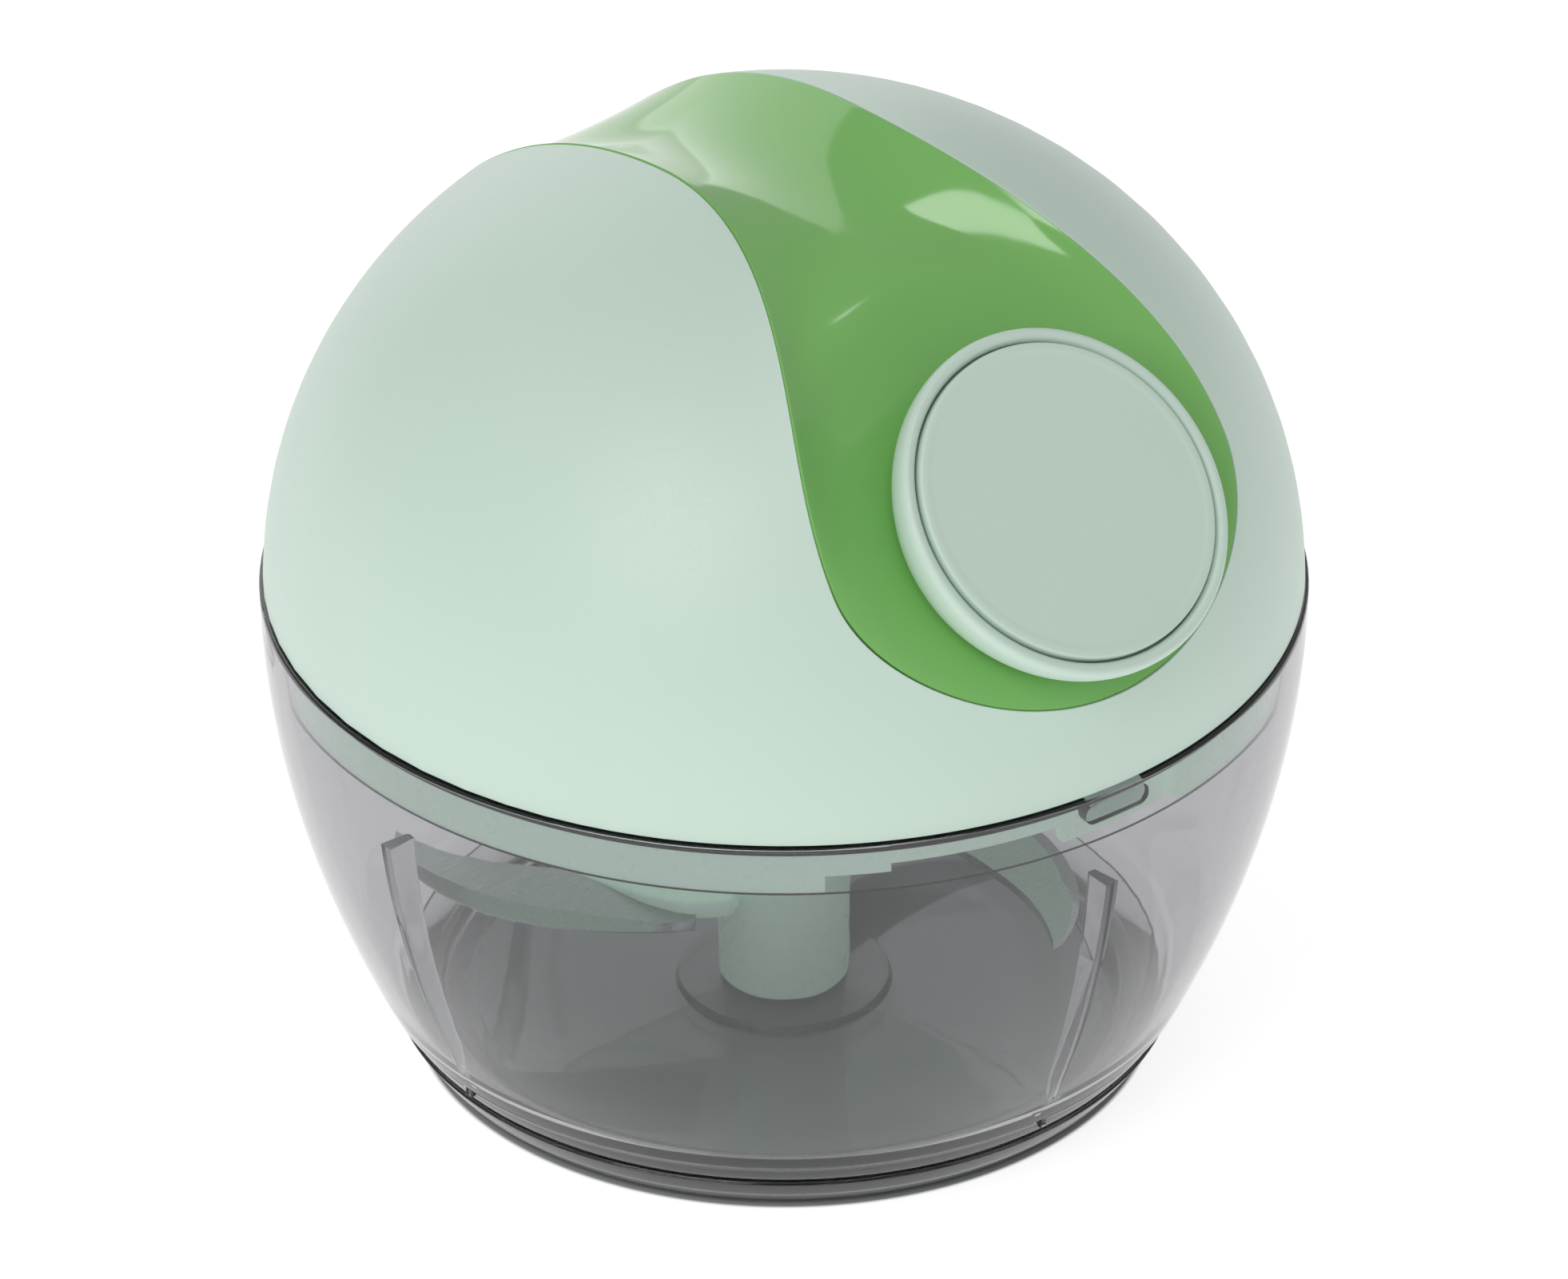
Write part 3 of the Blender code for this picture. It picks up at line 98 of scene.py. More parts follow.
COLLAR_RADIUS = 9.4
TWIST_ANGLE = 22.0
CAM_START = -35.0
CAM_END = -6.0
CAM_RISE = 2.4
DOME_RADIUS = 64.5
DOME_HEIGHT = 61.57
DOME_WALL = 2.2
DOME_EDGE = BOWL_HEIGHT + GAP
DOME_CENTRE = Vector((0.0, 0.0, BOWL_HEIGHT))
SADDLE_FRONT = 11.3
SADDLE_WIDEST = 34.0
SADDLE_WAIST = 95.0
SADDLE_BACK = 150.0
SADDLE_BACK_ROUND = 24.0
SADDLE_HALF_WIDTH = 31.0
WAIST_HALF_WIDTH = 14.2
VALLEY_DEPTH = 5.4
SEAT_DISTANCE = 53.6         # from the dome's middle to the knob's flat seat, along the pull
SADDLE_WALL = 2.2
PULL_ANGLE = math.radians(44.6)
PULL_DIRECTION = Vector((0.0, -math.cos(PULL_ANGLE), math.sin(PULL_ANGLE)))
KNOB_CENTRE = Vector((0.0, -54.02, 98.92))
KNOB_RADIUS = 22.3
KNOB_BASE_RADIUS = 19.5
KNOB_HEIGHT = 9.2
KNOB_WALL = 2.4
CAP_RADIUS = 20.15
CAP_THICKNESS = 1.9
CORD_RADIUS = 0.9
HUB_TOP_RADIUS = 8.5
HUB_BOTTOM_RADIUS = 8.2
SOCKET_RADIUS = 5.3
BLADE_THICKNESS = 1.2
BLADE_ROOT = 10.0
ARM_HEIGHT = 5.0
ARM_UNDER = 0.3
ARM_SLOPE = 1.7
ARM_REACH = 26.0
LONGEST_BLADE = 51.4
# node, height, azimuth in degrees and reach of each blade
BLADES = (("blade_lower", 11.8, 105.5, 46.0),
          ("blade_middle", 20.0, 225.5, 50.6),
          ("blade_upper", 34.4, 4.6, LONGEST_BLADE))


def bowl_outside(z):
    """Outer radius of the bowl at height z."""
    return RIM_RADIUS - (RIM_RADIUS - FOOT_RADIUS) * (1.0 - z / BOWL_HEIGHT) ** BOWL_CURVE


def bowl_inside(z):
    """Inner radius of the bowl at height z."""
    return bowl_outside(z) - BOWL_WALL


SKIRT_RADIUS = bowl_inside(SKIRT_BOTTOM) - GAP


# ---------------------------------------------------------------- materials
def linear(hex_colour):
    """Linear colour of a six-digit sRGB hex string."""
    channels = [int(hex_colour[i:i + 2], 16) / 255.0 for i in (0, 2, 4)]
    return [c / 12.92 if c <= 0.04045 else ((c + 0.055) / 1.055) ** 2.4 for c in channels] + [1.0]


def add_node(tree, kind, inputs=(), **settings):
    """Adds a node, sets its options, then fills or links its sockets."""
    made = tree.nodes.new(kind)
    for key, value in settings.items():
        setattr(made, key, value)
    for socket, value in dict(inputs).items():
        if isinstance(value, bpy.types.NodeSocket):
            tree.links.new(value, made.inputs[socket])
        else:
            made.inputs[socket].default_value = value
    return made


def new_material(name):
    """An empty material with its Principled shader and object coordinates ready."""
    made = bpy.data.materials.new(name)
    made.use_nodes = True
    tree = made.node_tree
    shader = tree.nodes["Principled BSDF"]
    place = add_node(tree, "ShaderNodeTexCoord").outputs["Object"]
    return made, tree, shader, place


def grains(size_mm):
    """Noise scale that gives grains of a real size."""
    return 1.0 / (size_mm * MM)


def moulded_plastic(name, colour, shade, roughness, grain_mm, relief_mm, spread=0.06, painted_glow_colour=None, glow=0.0):
    """Moulded plastic: faint flow mottling in its colour and a fine mould texture in its relief.

    Its last two arguments paint light: a glow of that colour and strength, though the plastic is no lamp.
    """
    made, tree, shader, place = new_material(name)
    flow = add_node(tree, "ShaderNodeTexNoise", {"Vector": place, "Scale": grains(22.0), "Detail": 3.0})
    tint = add_node(tree, "ShaderNodeMix", {"Factor": flow.outputs["Fac"], 6: linear(shade),
                                            7: linear(colour)}, data_type="RGBA")
    tree.links.new(tint.outputs[2], shader.inputs["Base Color"])
    grain = add_node(tree, "ShaderNodeTexNoise", {"Vector": place, "Scale": grains(grain_mm), "Detail": 2.0,
                                                  "Roughness": 0.6})
    rough = add_node(tree, "ShaderNodeMapRange", {"Value": grain.outputs["Fac"], "From Min": 0.3,
                                                  "From Max": 0.7, "To Min": roughness - spread,
                                                  "To Max": roughness + spread})
    tree.links.new(rough.outputs["Result"], shader.inputs["Roughness"])
    bump = add_node(tree, "ShaderNodeBump", {"Height": grain.outputs["Fac"], "Distance": relief_mm * MM,
                                             "Strength": 1.0})
    tree.links.new(bump.outputs["Normal"], shader.inputs["Normal"])
    shader.inputs["IOR"].default_value = 1.54
    # painted light: the glow makes the plastic give off light though it is no lamp
    if painted_glow_colour:
        shader.inputs["Emission Color"].default_value = linear(painted_glow_colour)
        shader.inputs["Emission Strength"].default_value = glow
    return made


def turned_metal(name, colour, roughness, line_mm, relief_mm, direction):
    """Bright metal with fine lines left by its grinding or drawing."""
    made, tree, shader, place = new_material(name)
    stretch = add_node(tree, "ShaderNodeMapping", {"Vector": place, "Scale": direction})
    lines = add_node(tree, "ShaderNodeTexNoise", {"Vector": stretch.outputs["Vector"],
                                                  "Scale": grains(line_mm), "Detail": 3.0, "Roughness": 0.7})
    rough = add_node(tree, "ShaderNodeMapRange", {"Value": lines.outputs["Fac"], "From Min": 0.3,
                                                  "From Max": 0.7, "To Min": roughness - 0.07,
                                                  "To Max": roughness + 0.09})
    tree.links.new(rough.outputs["Result"], shader.inputs["Roughness"])
    bump = add_node(tree, "ShaderNodeBump", {"Height": lines.outputs["Fac"], "Distance": relief_mm * MM,
                                             "Strength": 1.0})
    tree.links.new(bump.outputs["Normal"], shader.inputs["Normal"])
    shader.inputs["Base Color"].default_value = linear(colour)
    shader.inputs["Metallic"].default_value = 1.0
    return made


# spark-eroded mould: an even satin face that spreads every highlight wide
SATIN_ABS = moulded_plastic("abs_spark_eroded_mint", "C9DDD1", "C5DACD", 0.42, 0.5, 0.02)
# polished mould: smooth mint with a soft shine, on parts seen through the bowl; its paler colour and its glow
# are painted light, standing in for light that reaches them through the bowl
MINT_ABS_PAINTED_LIGHT = moulded_plastic("abs_polished_mint_painted_light", "E2F3E8", "DDEFE4", 0.3, 2.0, 0.004,
                             painted_glow_colour="B9E4C8", glow=0.16)
# polished mould: the same mint, with a strong painted glow all over it that stands in for light reaching the
# skirt through the bowl
SKIRT_ABS_PAINTED_GLOW = moulded_plastic("abs_mint_painted_glow", "AABFB3", "A5BAAE", 0.3, 2.0, 0.004,
                           painted_glow_colour="C1D9C9", glow=0.65)
# mirror-polished mould: deep green that shows the lamps as sharp shapes
GLOSS_ABS = moulded_plastic("abs_mirror_polished_green", "7DBD65", "77B65F", 0.1, 9.0, 0.02, 0.02)
# acetal from a plain mould: white, waxy and slightly mottled
ACETAL = moulded_plastic("acetal_moulded_white", "E6E8E3", "DFE1DC", 0.38, 0.8, 0.01)
# silicone from a matt mould: soft grey with a powdery face
SILICONE = moulded_plastic("silicone_moulded_grey", "8D9492", "868D8B", 0.7, 0.6, 0.015)
# silicone that shows light through the floor of the bowl
PAD_SILICONE = moulded_plastic("silicone_moulded_pale", "DEEAE6", "D8E4E0", 0.65, 0.6, 0.015)
# the same silicone with soot in it: nearly black, matt; also used for thin dark rings of painted shade inside
# the bowl
DARK_SILICONE_AND_PAINTED_SHADE = moulded_plastic("silicone_dark_and_painted_shade", "2A2C30", "26282C", 0.6, 0.6, 0.015)
# stainless sheet, ground along the blade: fine parallel lines
GROUND_STEEL = turned_metal("stainless_steel_ground", "A4AAA8", 0.3, 0.5, 0.0008, (0.12, 1.0, 1.0))
# stainless bar, turned: fine rings
TURNED_STEEL = turned_metal("stainless_steel_turned", "C2C4C6", 0.24, 0.4, 0.002, (0.2, 0.2, 1.0))
# spring strip, rolled and blued: dark blue-grey with lines along the strip
BLUED_STEEL = turned_metal("spring_steel_rolled_blued", "5C6470", 0.34, 0.5, 0.003, (0.2, 0.2, 1.0))


def clear_plastic():
    """SAN from a polished mould: clear and smoke-tinted, darkest where the light goes through an edge."""
    made, tree, shader, place = new_material("san_moulded_smoke")
    ripple = add_node(tree, "ShaderNodeTexNoise", {"Vector": place, "Scale": grains(14.0), "Detail": 2.0})
    bump = add_node(tree, "ShaderNodeBump", {"Height": ripple.outputs["Fac"], "Distance": 0.03 * MM,
                                             "Strength": 1.0})
    tree.links.new(bump.outputs["Normal"], shader.inputs["Normal"])
    shader.inputs["Base Color"].default_value = linear("FBFBFC")
    shader.inputs["Roughness"].default_value = 0.02
    shader.inputs["IOR"].default_value = 1.57
    shader.inputs["Transmission Weight"].default_value = 1.0
    smoke = add_node(tree, "ShaderNodeVolumeAbsorption", {"Color": linear("76767F"), "Density": 205.0})
    tree.links.new(smoke.outputs["Volume"], tree.nodes["Material Output"].inputs["Volume"])
    return made


def braided_cord():
    """Polyester cord, braided: crossing strands, drawn 1.2 mm apart so that they show."""
    made, tree, shader, place = new_material("polyester_cord_braided")
    strands = []
    for lean in (1.0, -1.0):
        turn = add_node(tree, "ShaderNodeMapping", {"Vector": place, "Rotation": (lean * 0.6, 0.0, 0.0)})
        strands.append(add_node(tree, "ShaderNodeTexWave", {"Vector": turn.outputs["Vector"],
                                                            "Scale": grains(1.2) / 20.0, "Distortion": 0.4},
                                bands_direction="Z"))
    cross = add_node(tree, "ShaderNodeMix", {"Factor": 0.5, 6: strands[0].outputs["Color"],
                                             7: strands[1].outputs["Color"]}, data_type="RGBA")
    tint = add_node(tree, "ShaderNodeMix", {"Factor": cross.outputs[2], 6: linear("C4C6C0"),
                                            7: linear("ECEDE8")}, data_type="RGBA")
    tree.links.new(tint.outputs[2], shader.inputs["Base Color"])
    bump = add_node(tree, "ShaderNodeBump", {"Height": cross.outputs[2], "Distance": 0.15 * MM})
    tree.links.new(bump.outputs["Normal"], shader.inputs["Normal"])
    shader.inputs["Roughness"].default_value = 0.85
    return made


SMOKE = clear_plastic()
CORD = braided_cord()


# ---------------------------------------------------------------- mesh tools
def add_piece(name, bm, finish, body, nodes=(), matrix=None, sharp=38.0, thickness=0.0, rounding=0.0):
    """A finished piece from a bmesh in millimetres, riding on its body. Thickness goes inwards."""
    bmesh.ops.remove_doubles(bm, verts=bm.verts, dist=1e-4)
    bmesh.ops.recalc_face_normals(bm, faces=bm.faces)
    if matrix is not None:
        bmesh.ops.transform(bm, matrix=matrix, verts=bm.verts)
    bmesh.ops.scale(bm, vec=(MM, MM, MM), verts=bm.verts)
    mesh = bpy.data.meshes.new(name)
    bm.to_mesh(mesh)
    bm.free()
    mesh.shade_smooth()
    mesh.set_sharp_from_angle(angle=math.radians(sharp))
    mesh.materials.append(finish)
    made = bpy.data.objects.new(name, mesh)
    bpy.context.collection.objects.link(made)
    if thickness:
        wall = made.modifiers.new("wall", "SOLIDIFY")
        wall.thickness = thickness * MM
        wall.offset = -1.0
    if rounding:
        edge = made.modifiers.new("edge", "BEVEL")
        edge.width = rounding * MM
        edge.segments = 4
        edge.limit_method = "ANGLE"
        edge.angle_limit = math.radians(60.0)
    if body:
        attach(made, body)
    if nodes:
        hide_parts(*nodes)
    return made


def cut(target, tool_bm, operation="DIFFERENCE"):
    """Applies a Boolean with a bmesh in millimetres, and leaves no tool behind."""
    bmesh.ops.recalc_face_normals(tool_bm, faces=tool_bm.faces)
    bmesh.ops.scale(tool_bm, vec=(MM, MM, MM), verts=tool_bm.verts)
    mesh = bpy.data.meshes.new("tool")
    tool_bm.to_mesh(mesh)
    tool_bm.free()
    tool = bpy.data.objects.new("tool", mesh)
    bpy.context.collection.objects.link(tool)
    step = target.modifiers.new("cut", "BOOLEAN")
    step.object = tool
    step.operation = operation
    step.solver = "EXACT"
    bpy.context.view_layer.update()
    made = bpy.data.meshes.new_from_object(target.evaluated_get(bpy.context.evaluated_depsgraph_get()))
    target.modifiers.remove(step)
    old = target.data
    target.data = made
    made.name = target.name
    bpy.data.meshes.remove(old)
    bpy.data.objects.remove(tool)
    bpy.data.meshes.remove(mesh)
    made.shade_smooth()
    made.set_sharp_from_angle(angle=math.radians(38.0))


def face_outwards(piece):
    """Turns the skin of an open shell away from the dome's middle, so that its thickness goes inwards."""
    skin = piece.data.polygons[0]
    if skin.normal.dot(skin.center - DOME_CENTRE * MM) < 0.0:
        piece.data.flip_normals()


def loft(bm, rings):
    """Closes a solid over a row of rings that have the same number of vertices."""
    bm.faces.new(rings[0])
    bm.faces.new(rings[-1][::-1])
    for lower, upper in zip(rings, rings[1:]):
        for i in range(len(lower)):
            j = (i + 1) % len(lower)
            bm.faces.new((lower[i], lower[j], upper[j], upper[i]))


def turned(profile, steps=FINE_STEPS):
    """A bmesh turned about Z from (radius, height) points. A third number rounds that corner."""
    bm = bmesh.new()
    verts = [bm.verts.new((point[0], 0.0, point[1])) for point in profile]
    edges = [bm.edges.new(pair) for pair in zip(verts, verts[1:])]
    if profile[0][0] > 0.0:
        edges.append(bm.edges.new((verts[-1], verts[0])))
    for size in sorted({point[2] for point in profile if len(point) > 2}):
        corners = [vert for vert, point in zip(verts, profile) if len(point) > 2 and point[2] == size]
        bmesh.ops.bevel(bm, geom=corners, offset=size, affect="VERTICES", segments=4, profile=0.5,
                        material=-1)
    bmesh.ops.spin(bm, geom=bm.verts[:] + bm.edges[:], cent=(0, 0, 0), axis=(0, 0, 1), angle=TAU, steps=steps,
                   use_merge=True)
    bmesh.ops.remove_doubles(bm, verts=bm.verts, dist=1e-4)
    return bm


def polar(radius, degrees):
    """Plan point at an azimuth from -Y towards +X."""
    a = math.radians(degrees)
    return (radius * math.sin(a), -radius * math.cos(a))


def prism(bm, outline, bottom, top):
    """Adds an upright prism on a plan outline and returns its new vertices."""
    lower = [bm.verts.new((x, y, bottom)) for x, y in outline]
    base = bm.faces.new(lower)
    grown = bmesh.ops.extrude_face_region(bm, geom=[base])
    upper = [item for item in grown["geom"] if isinstance(item, bmesh.types.BMVert)]
    bmesh.ops.translate(bm, vec=(0.0, 0.0, top - bottom), verts=upper)
    return lower + upper


def sector(bm, inner, outer, start, end, bottom, top, steps):
    """Adds a block of a ring between two azimuths."""
    angles = [start + (end - start) * i / steps for i in range(steps + 1)]
    outline = [polar(outer, a) for a in angles] + [polar(inner, a) for a in reversed(angles)]
    prism(bm, outline, bottom, top)


def bezier(points, steps):
    """Points on a Bezier curve, by repeated interpolation along its control polygon."""
    result = []
    for i in range(steps + 1):
        t = i / steps
        row = [Vector(p) for p in points]
        while len(row) > 1:
            row = [a.lerp(b, t) for a, b in zip(row, row[1:])]
        result.append(row[0])
    return result


def smoothstep(low, high, value):
    """A share that eases from 0 at low to 1 at high."""
    t = min(1.0, max(0.0, (value - low) / (high - low)))
    return t * t * (3.0 - 2.0 * t)


KNOB_PLACE = Matrix.Translation(KNOB_CENTRE) @ PULL_DIRECTION.to_track_quat("Z", "X").to_matrix().to_4x4()


# ---------------------------------------------------------------- bowl
def bowl_profile():
    """The bowl's section: underside, foot and side, rim, inner wall, floor, and the stud round the pin."""
    outside = [(FOOT_RADIUS - 0.6, 0.5, 0.25), (FOOT_RADIUS + 0.05, 1.1, 0.2), (bowl_outside(4.9), 4.9, 0.12),
               (bowl_outside(5.1) - 0.45, 5.15, 0.1), (bowl_outside(5.5) - 0.45, 5.55, 0.1)]
    outside += [(bowl_outside(z) - 0.3, z) for z in (6.2, 7.4)]
    outside += [(bowl_outside(8.3) - 0.28, 8.3), (bowl_outside(8.7), 8.7, 0.12)]
    levels = 36
    outside += [(bowl_outside(10.0 + (BOWL_HEIGHT - 12.0) * i / levels),
                 10.0 + (BOWL_HEIGHT - 12.0) * i / levels) for i in range(levels + 1)]
    outside += [(RIM_RADIUS, BOWL_HEIGHT - 1.0), (RIM_RADIUS, BOWL_HEIGHT, 0.4)]
    inside = [(RIM_RADIUS - BOWL_WALL, BOWL_HEIGHT, 0.4)]
    inside += [(bowl_inside(BOWL_HEIGHT - 2.0 - (BOWL_HEIGHT - 2.0 - FILLET_TOP) * i / levels),
                BOWL_HEIGHT - 2.0 - (BOWL_HEIGHT - 2.0 - FILLET_TOP) * i / levels) for i in range(levels)]
    slope = bowl_inside(FILLET_TOP + 1.0) - bowl_inside(FILLET_TOP)
    start = (bowl_inside(FILLET_TOP), FILLET_TOP)
    corner = (bowl_inside(FILLET_TOP) - slope * (FILLET_TOP - FLOOR_TOP), FLOOR_TOP)
    inside += [tuple(p) for p in bezier([start, corner, (FLOOR_RADIUS + 3.0, FLOOR_TOP + 0.25)], 14)]
    inside += [(FLOOR_RADIUS + 0.2, FLOOR_TOP + 0.2), (FLOOR_RADIUS, FLOOR_TOP)]
    middle = [(PLINTH_RADIUS + 0.2, FLOOR_TOP, 0.1), (PLINTH_RADIUS, PLINTH_TOP, 0.3),
              (STUD_RADIUS, PLINTH_TOP, 0.2), (STUD_RADIUS, STUD_TOP, 0.3), (PIN_BORE, STUD_TOP, 0.1),
              (PIN_BORE, PIN_BOTTOM), (0.0, PIN_BOTTOM)]
    under = [(0.0, FLOOR_UNDER), (FOOT_RADIUS - 3.4, FLOOR_UNDER, 0.3), (FOOT_RADIUS - 3.0, 0.5, 0.2)]
    return under + outside + inside + middle


def rib_blocks():
    """Four upright ribs that grow out of the wall towards the rim and fade out at the floor."""
    ribs = bmesh.new()
    levels = 14
    for rib in range(RIB_COUNT):
        turn = Matrix.Rotation(TAU * rib / RIB_COUNT, 3, "Z")
        rings = []
        for i in range(levels + 1):
            t = i / levels
            z = RIB_BOTTOM + (RIB_TOP - RIB_BOTTOM) * t
            wall = bowl_inside(z) + 0.4 * BOWL_WALL
            depth = RIB_DEPTH_BOTTOM + (RIB_DEPTH_TOP - RIB_DEPTH_BOTTOM) * t
            half = RIB_WIDTH * (0.3 + 0.2 * t)
            inner = bowl_inside(max(z, FILLET_TOP)) - depth
            points = [(wall, -half), (wall, half), (inner + 0.3, 0.8 * half), (inner, 0.5 * half),
                      (inner + 0.1, -0.5 * half)]
            rings.append([ribs.verts.new(turn @ Vector((-y, -x, z))) for x, y in points])
        loft(ribs, rings)
    return ribs


def lug_blocks():
    """Three bayonet lugs with round ends and softened faces, inside the rim."""
    lugs = bmesh.new()
    for lug in range(LUG_COUNT):
        turn = Matrix.Rotation(TAU * lug / LUG_COUNT, 3, "Z")
        straight = (LUG_LENGTH - LUG_HEIGHT) / 2.0
        rings = []
        back = bowl_inside(LUG_CENTRE) + 0.5 * BOWL_WALL
        face = bowl_inside(LUG_CENTRE) - LUG_DEPTH
        for radius, inset in ((back, 0.0), (face + 0.5, 0.0), (face + 0.15, 0.15), (face, 0.5)):
            ring = []
            for side, first in ((1, -90), (-1, 90)):
                for i in range(13):
                    a = math.radians(first + 15 * i)
                    reach = LUG_HEIGHT / 2 - inset
                    ring.append(lugs.verts.new(turn @ Vector((side * straight + reach * math.cos(a), -radius,
                                                              LUG_CENTRE + reach * math.sin(a)))))
            rings.append(ring)
        loft(lugs, rings)
    return lugs


def make_bowl():
    """The smoky bowl, with its foot, floor, ribs and bayonet lugs in one wall."""
    bowl = add_piece("bowl_shell", turned(bowl_profile()), SMOKE, "bowl_unit", ("bowl",))
    cut(bowl, rib_blocks(), "UNION")
    cut(bowl, lug_blocks(), "UNION")


def make_base_pad():
    """A pale disc, and the darker grip ring that is moulded round it."""
    edge = PAD_HIGH.x
    top = PAD_HIGH.z
    groove = 0.7 * edge
    seam = FLOOR_RADIUS + 1.4
    profile = [(0.0, 0.0), (groove - 1.2, 0.0), (groove - 0.8, 0.6), (groove + 0.8, 0.6), (groove + 1.2, 0.0),
               (seam - 0.05, 0.0, 0.2), (seam - 0.05, top, 0.2), (0.0, top)]
    add_piece("foot_pad", turned(profile, 120), PAD_SILICONE, "bowl_unit", ("base_pad",))
    ring = [(seam + 0.05, 0.0, 0.2), (edge, 0.0, 0.5), (edge, top, 0.3), (seam + 0.05, top, 0.2)]
    add_piece("foot_grip", turned(ring, 120), DARK_SILICONE_AND_PAINTED_SHADE, "bowl_unit", ("base_pad",))


# ---------------------------------------------------------------- blades and hub
def blade_edges(reach, margin=0.0):
    """Cutting edge and back edge in plan, root to tip, the blade lying along +X."""
    k = reach / LONGEST_BLADE
    tip = (reach, -4.4)
    front = bezier([(5.5, 12.4 + margin), (22 * k, 18.0 + margin), (46 * k, 15.5 + margin), tip], 40)
    back = bezier([(5.5, 2.2 - margin), (32 * k, 3.6 - margin), (42 * k, 3.4 - margin), tip], 40)
    return front, back


def trimmed(front, back, start, end):
    """The stretch of both edges between two distances along the blade."""
    def crossing(edge, x):
        for a, b in zip(edge, edge[1:]):
            if a.x <= x <= b.x:
                return a.lerp(b, (x - a.x) / (b.x - a.x))
        return edge[-1]
    ends = []
    for edge in (front, back):
        middle = [p for p in edge if start < p.x < end]
        ends.append([crossing(edge, start)] + middle + [crossing(edge, end)])
    return ends


def make_blade(name, z, azimuth, reach):
    """A thin curved blade with a ground bevel along its leading edge."""
    front, back = blade_edges(reach)
    tip = reach - 0.6
    front, back = trimmed(front, back, BLADE_ROOT, tip)
    ground = []
    for point in front:
        share = min(1.0, 3.0 * (point.x - BLADE_ROOT) / reach) * min(1.0, 6.0 * (tip - point.x) / reach)
        ground.append(point - Vector((0.0, 2.4 * share)))
    full = front + back[::-1]
    top = ground + back[::-1]
    bm = bmesh.new()
    levels = ((full, 0.0), (full, 0.2), (top, BLADE_THICKNESS))
    rings = [[bm.verts.new((p.x, p.y, z - BLADE_THICKNESS / 2 + h)) for p in ring] for ring, h in levels]
    loft(bm, rings)
    turn = Matrix.Rotation(math.radians(azimuth - 90), 4, "Z")
    add_piece(name + "_steel", bm, GROUND_STEEL, "blade_set", (name,), turn, sharp=20.0)


SPIGOT_LENGTH = 4.6
HUB_SPLIT = SOCKET_LOW.z + SPIGOT_LENGTH - GAP


def make_hub():
    """The mint column that turns on the bowl's stud, hollow at its foot and open for the socket on top."""
    pin_room = 2.4
    stud_room = STUD_RADIUS + 2 * GAP
    spigot = SOCKET_RADIUS + 2 * GAP
    profile = [(HUB_BOTTOM_RADIUS, HUB_LOW.z, 0.35), (HUB_TOP_RADIUS, HUB_SPLIT, 0.1), (spigot, HUB_SPLIT),
               (spigot, HUB_SPLIT - 5.0), (pin_room, HUB_SPLIT - 5.0), (pin_room, STUD_TOP + 2 * GAP),
               (stud_room, STUD_TOP + 2 * GAP), (stud_room, HUB_LOW.z)]
    add_piece("hub_column", turned(profile, SMALL_STEPS), MINT_ABS_PAINTED_LIGHT, "blade_set",
              ("blade_hub",))


def make_arms():
    """Three arms that lie on the roots of the blades and slope down along them."""
    for name, z, azimuth, reach in BLADES:
        front, back = trimmed(*blade_edges(reach, 1.3), 5.6, ARM_REACH)
        front = [p + (q - p) * (0.22 + 0.7 * smoothstep(9.0, ARM_REACH, p.x)) for p, q in zip(front, back)]
        outline = [Vector((5.0, 8.0))] + front + back[::-1] + [Vector((5.0, 2.0))]
        bm = bmesh.new()
        prism(bm, [tuple(p) for p in outline], z - ARM_UNDER, z + ARM_HEIGHT / 2)
        for vert in bm.verts:
            if vert.co.z > z:
                vert.co.z -= ARM_SLOPE * smoothstep(10.0, ARM_REACH, vert.co.x)
        bmesh.ops.recalc_face_normals(bm, faces=bm.faces)
        rims = [edge for edge in bm.edges if abs(edge.verts[0].co.z - edge.verts[1].co.z) < 1e-6
                or edge.calc_face_angle(0.0) > 0.6]
        bmesh.ops.bevel(bm, geom=rims, offset=0.7, affect="EDGES", segments=4, profile=0.5, material=-1,
                        clamp_overlap=True)
        turn = Matrix.Rotation(math.radians(azimuth - 90), 4, "Z")
        add_piece("hub_arm_" + name, bm, MINT_ABS_PAINTED_LIGHT, "blade_set", matrix=turn)


def make_socket():
    """The socket that the lid's drive drops into, with two lands across its mouth."""
    bottom = HUB_SPLIT + GAP
    top = SOCKET_HIGH.z
    profile = [(0.0, bottom - SPIGOT_LENGTH), (SOCKET_RADIUS + GAP, bottom - SPIGOT_LENGTH),
               (SOCKET_RADIUS + GAP, bottom), (HUB_TOP_RADIUS, bottom, 0.1), (HUB_TOP_RADIUS, top, 0.5),
               (SOCKET_RADIUS, top, 0.5), (SOCKET_RADIUS, bottom - 1.0), (0.0, bottom - 1.0)]
    socket = add_piece("hub_socket", turned(profile, SMALL_STEPS), MINT_ABS_PAINTED_LIGHT, "blade_set",
                       ("drive_socket",))
    lands = bmesh.new()
    for middle in (0.0, 180.0):
        sector(lands, 3.6, SOCKET_RADIUS + 1.0, middle - 42.0, middle + 42.0, bottom - 0.5, top - 1.2, 16)
    cut(socket, lands, "UNION")


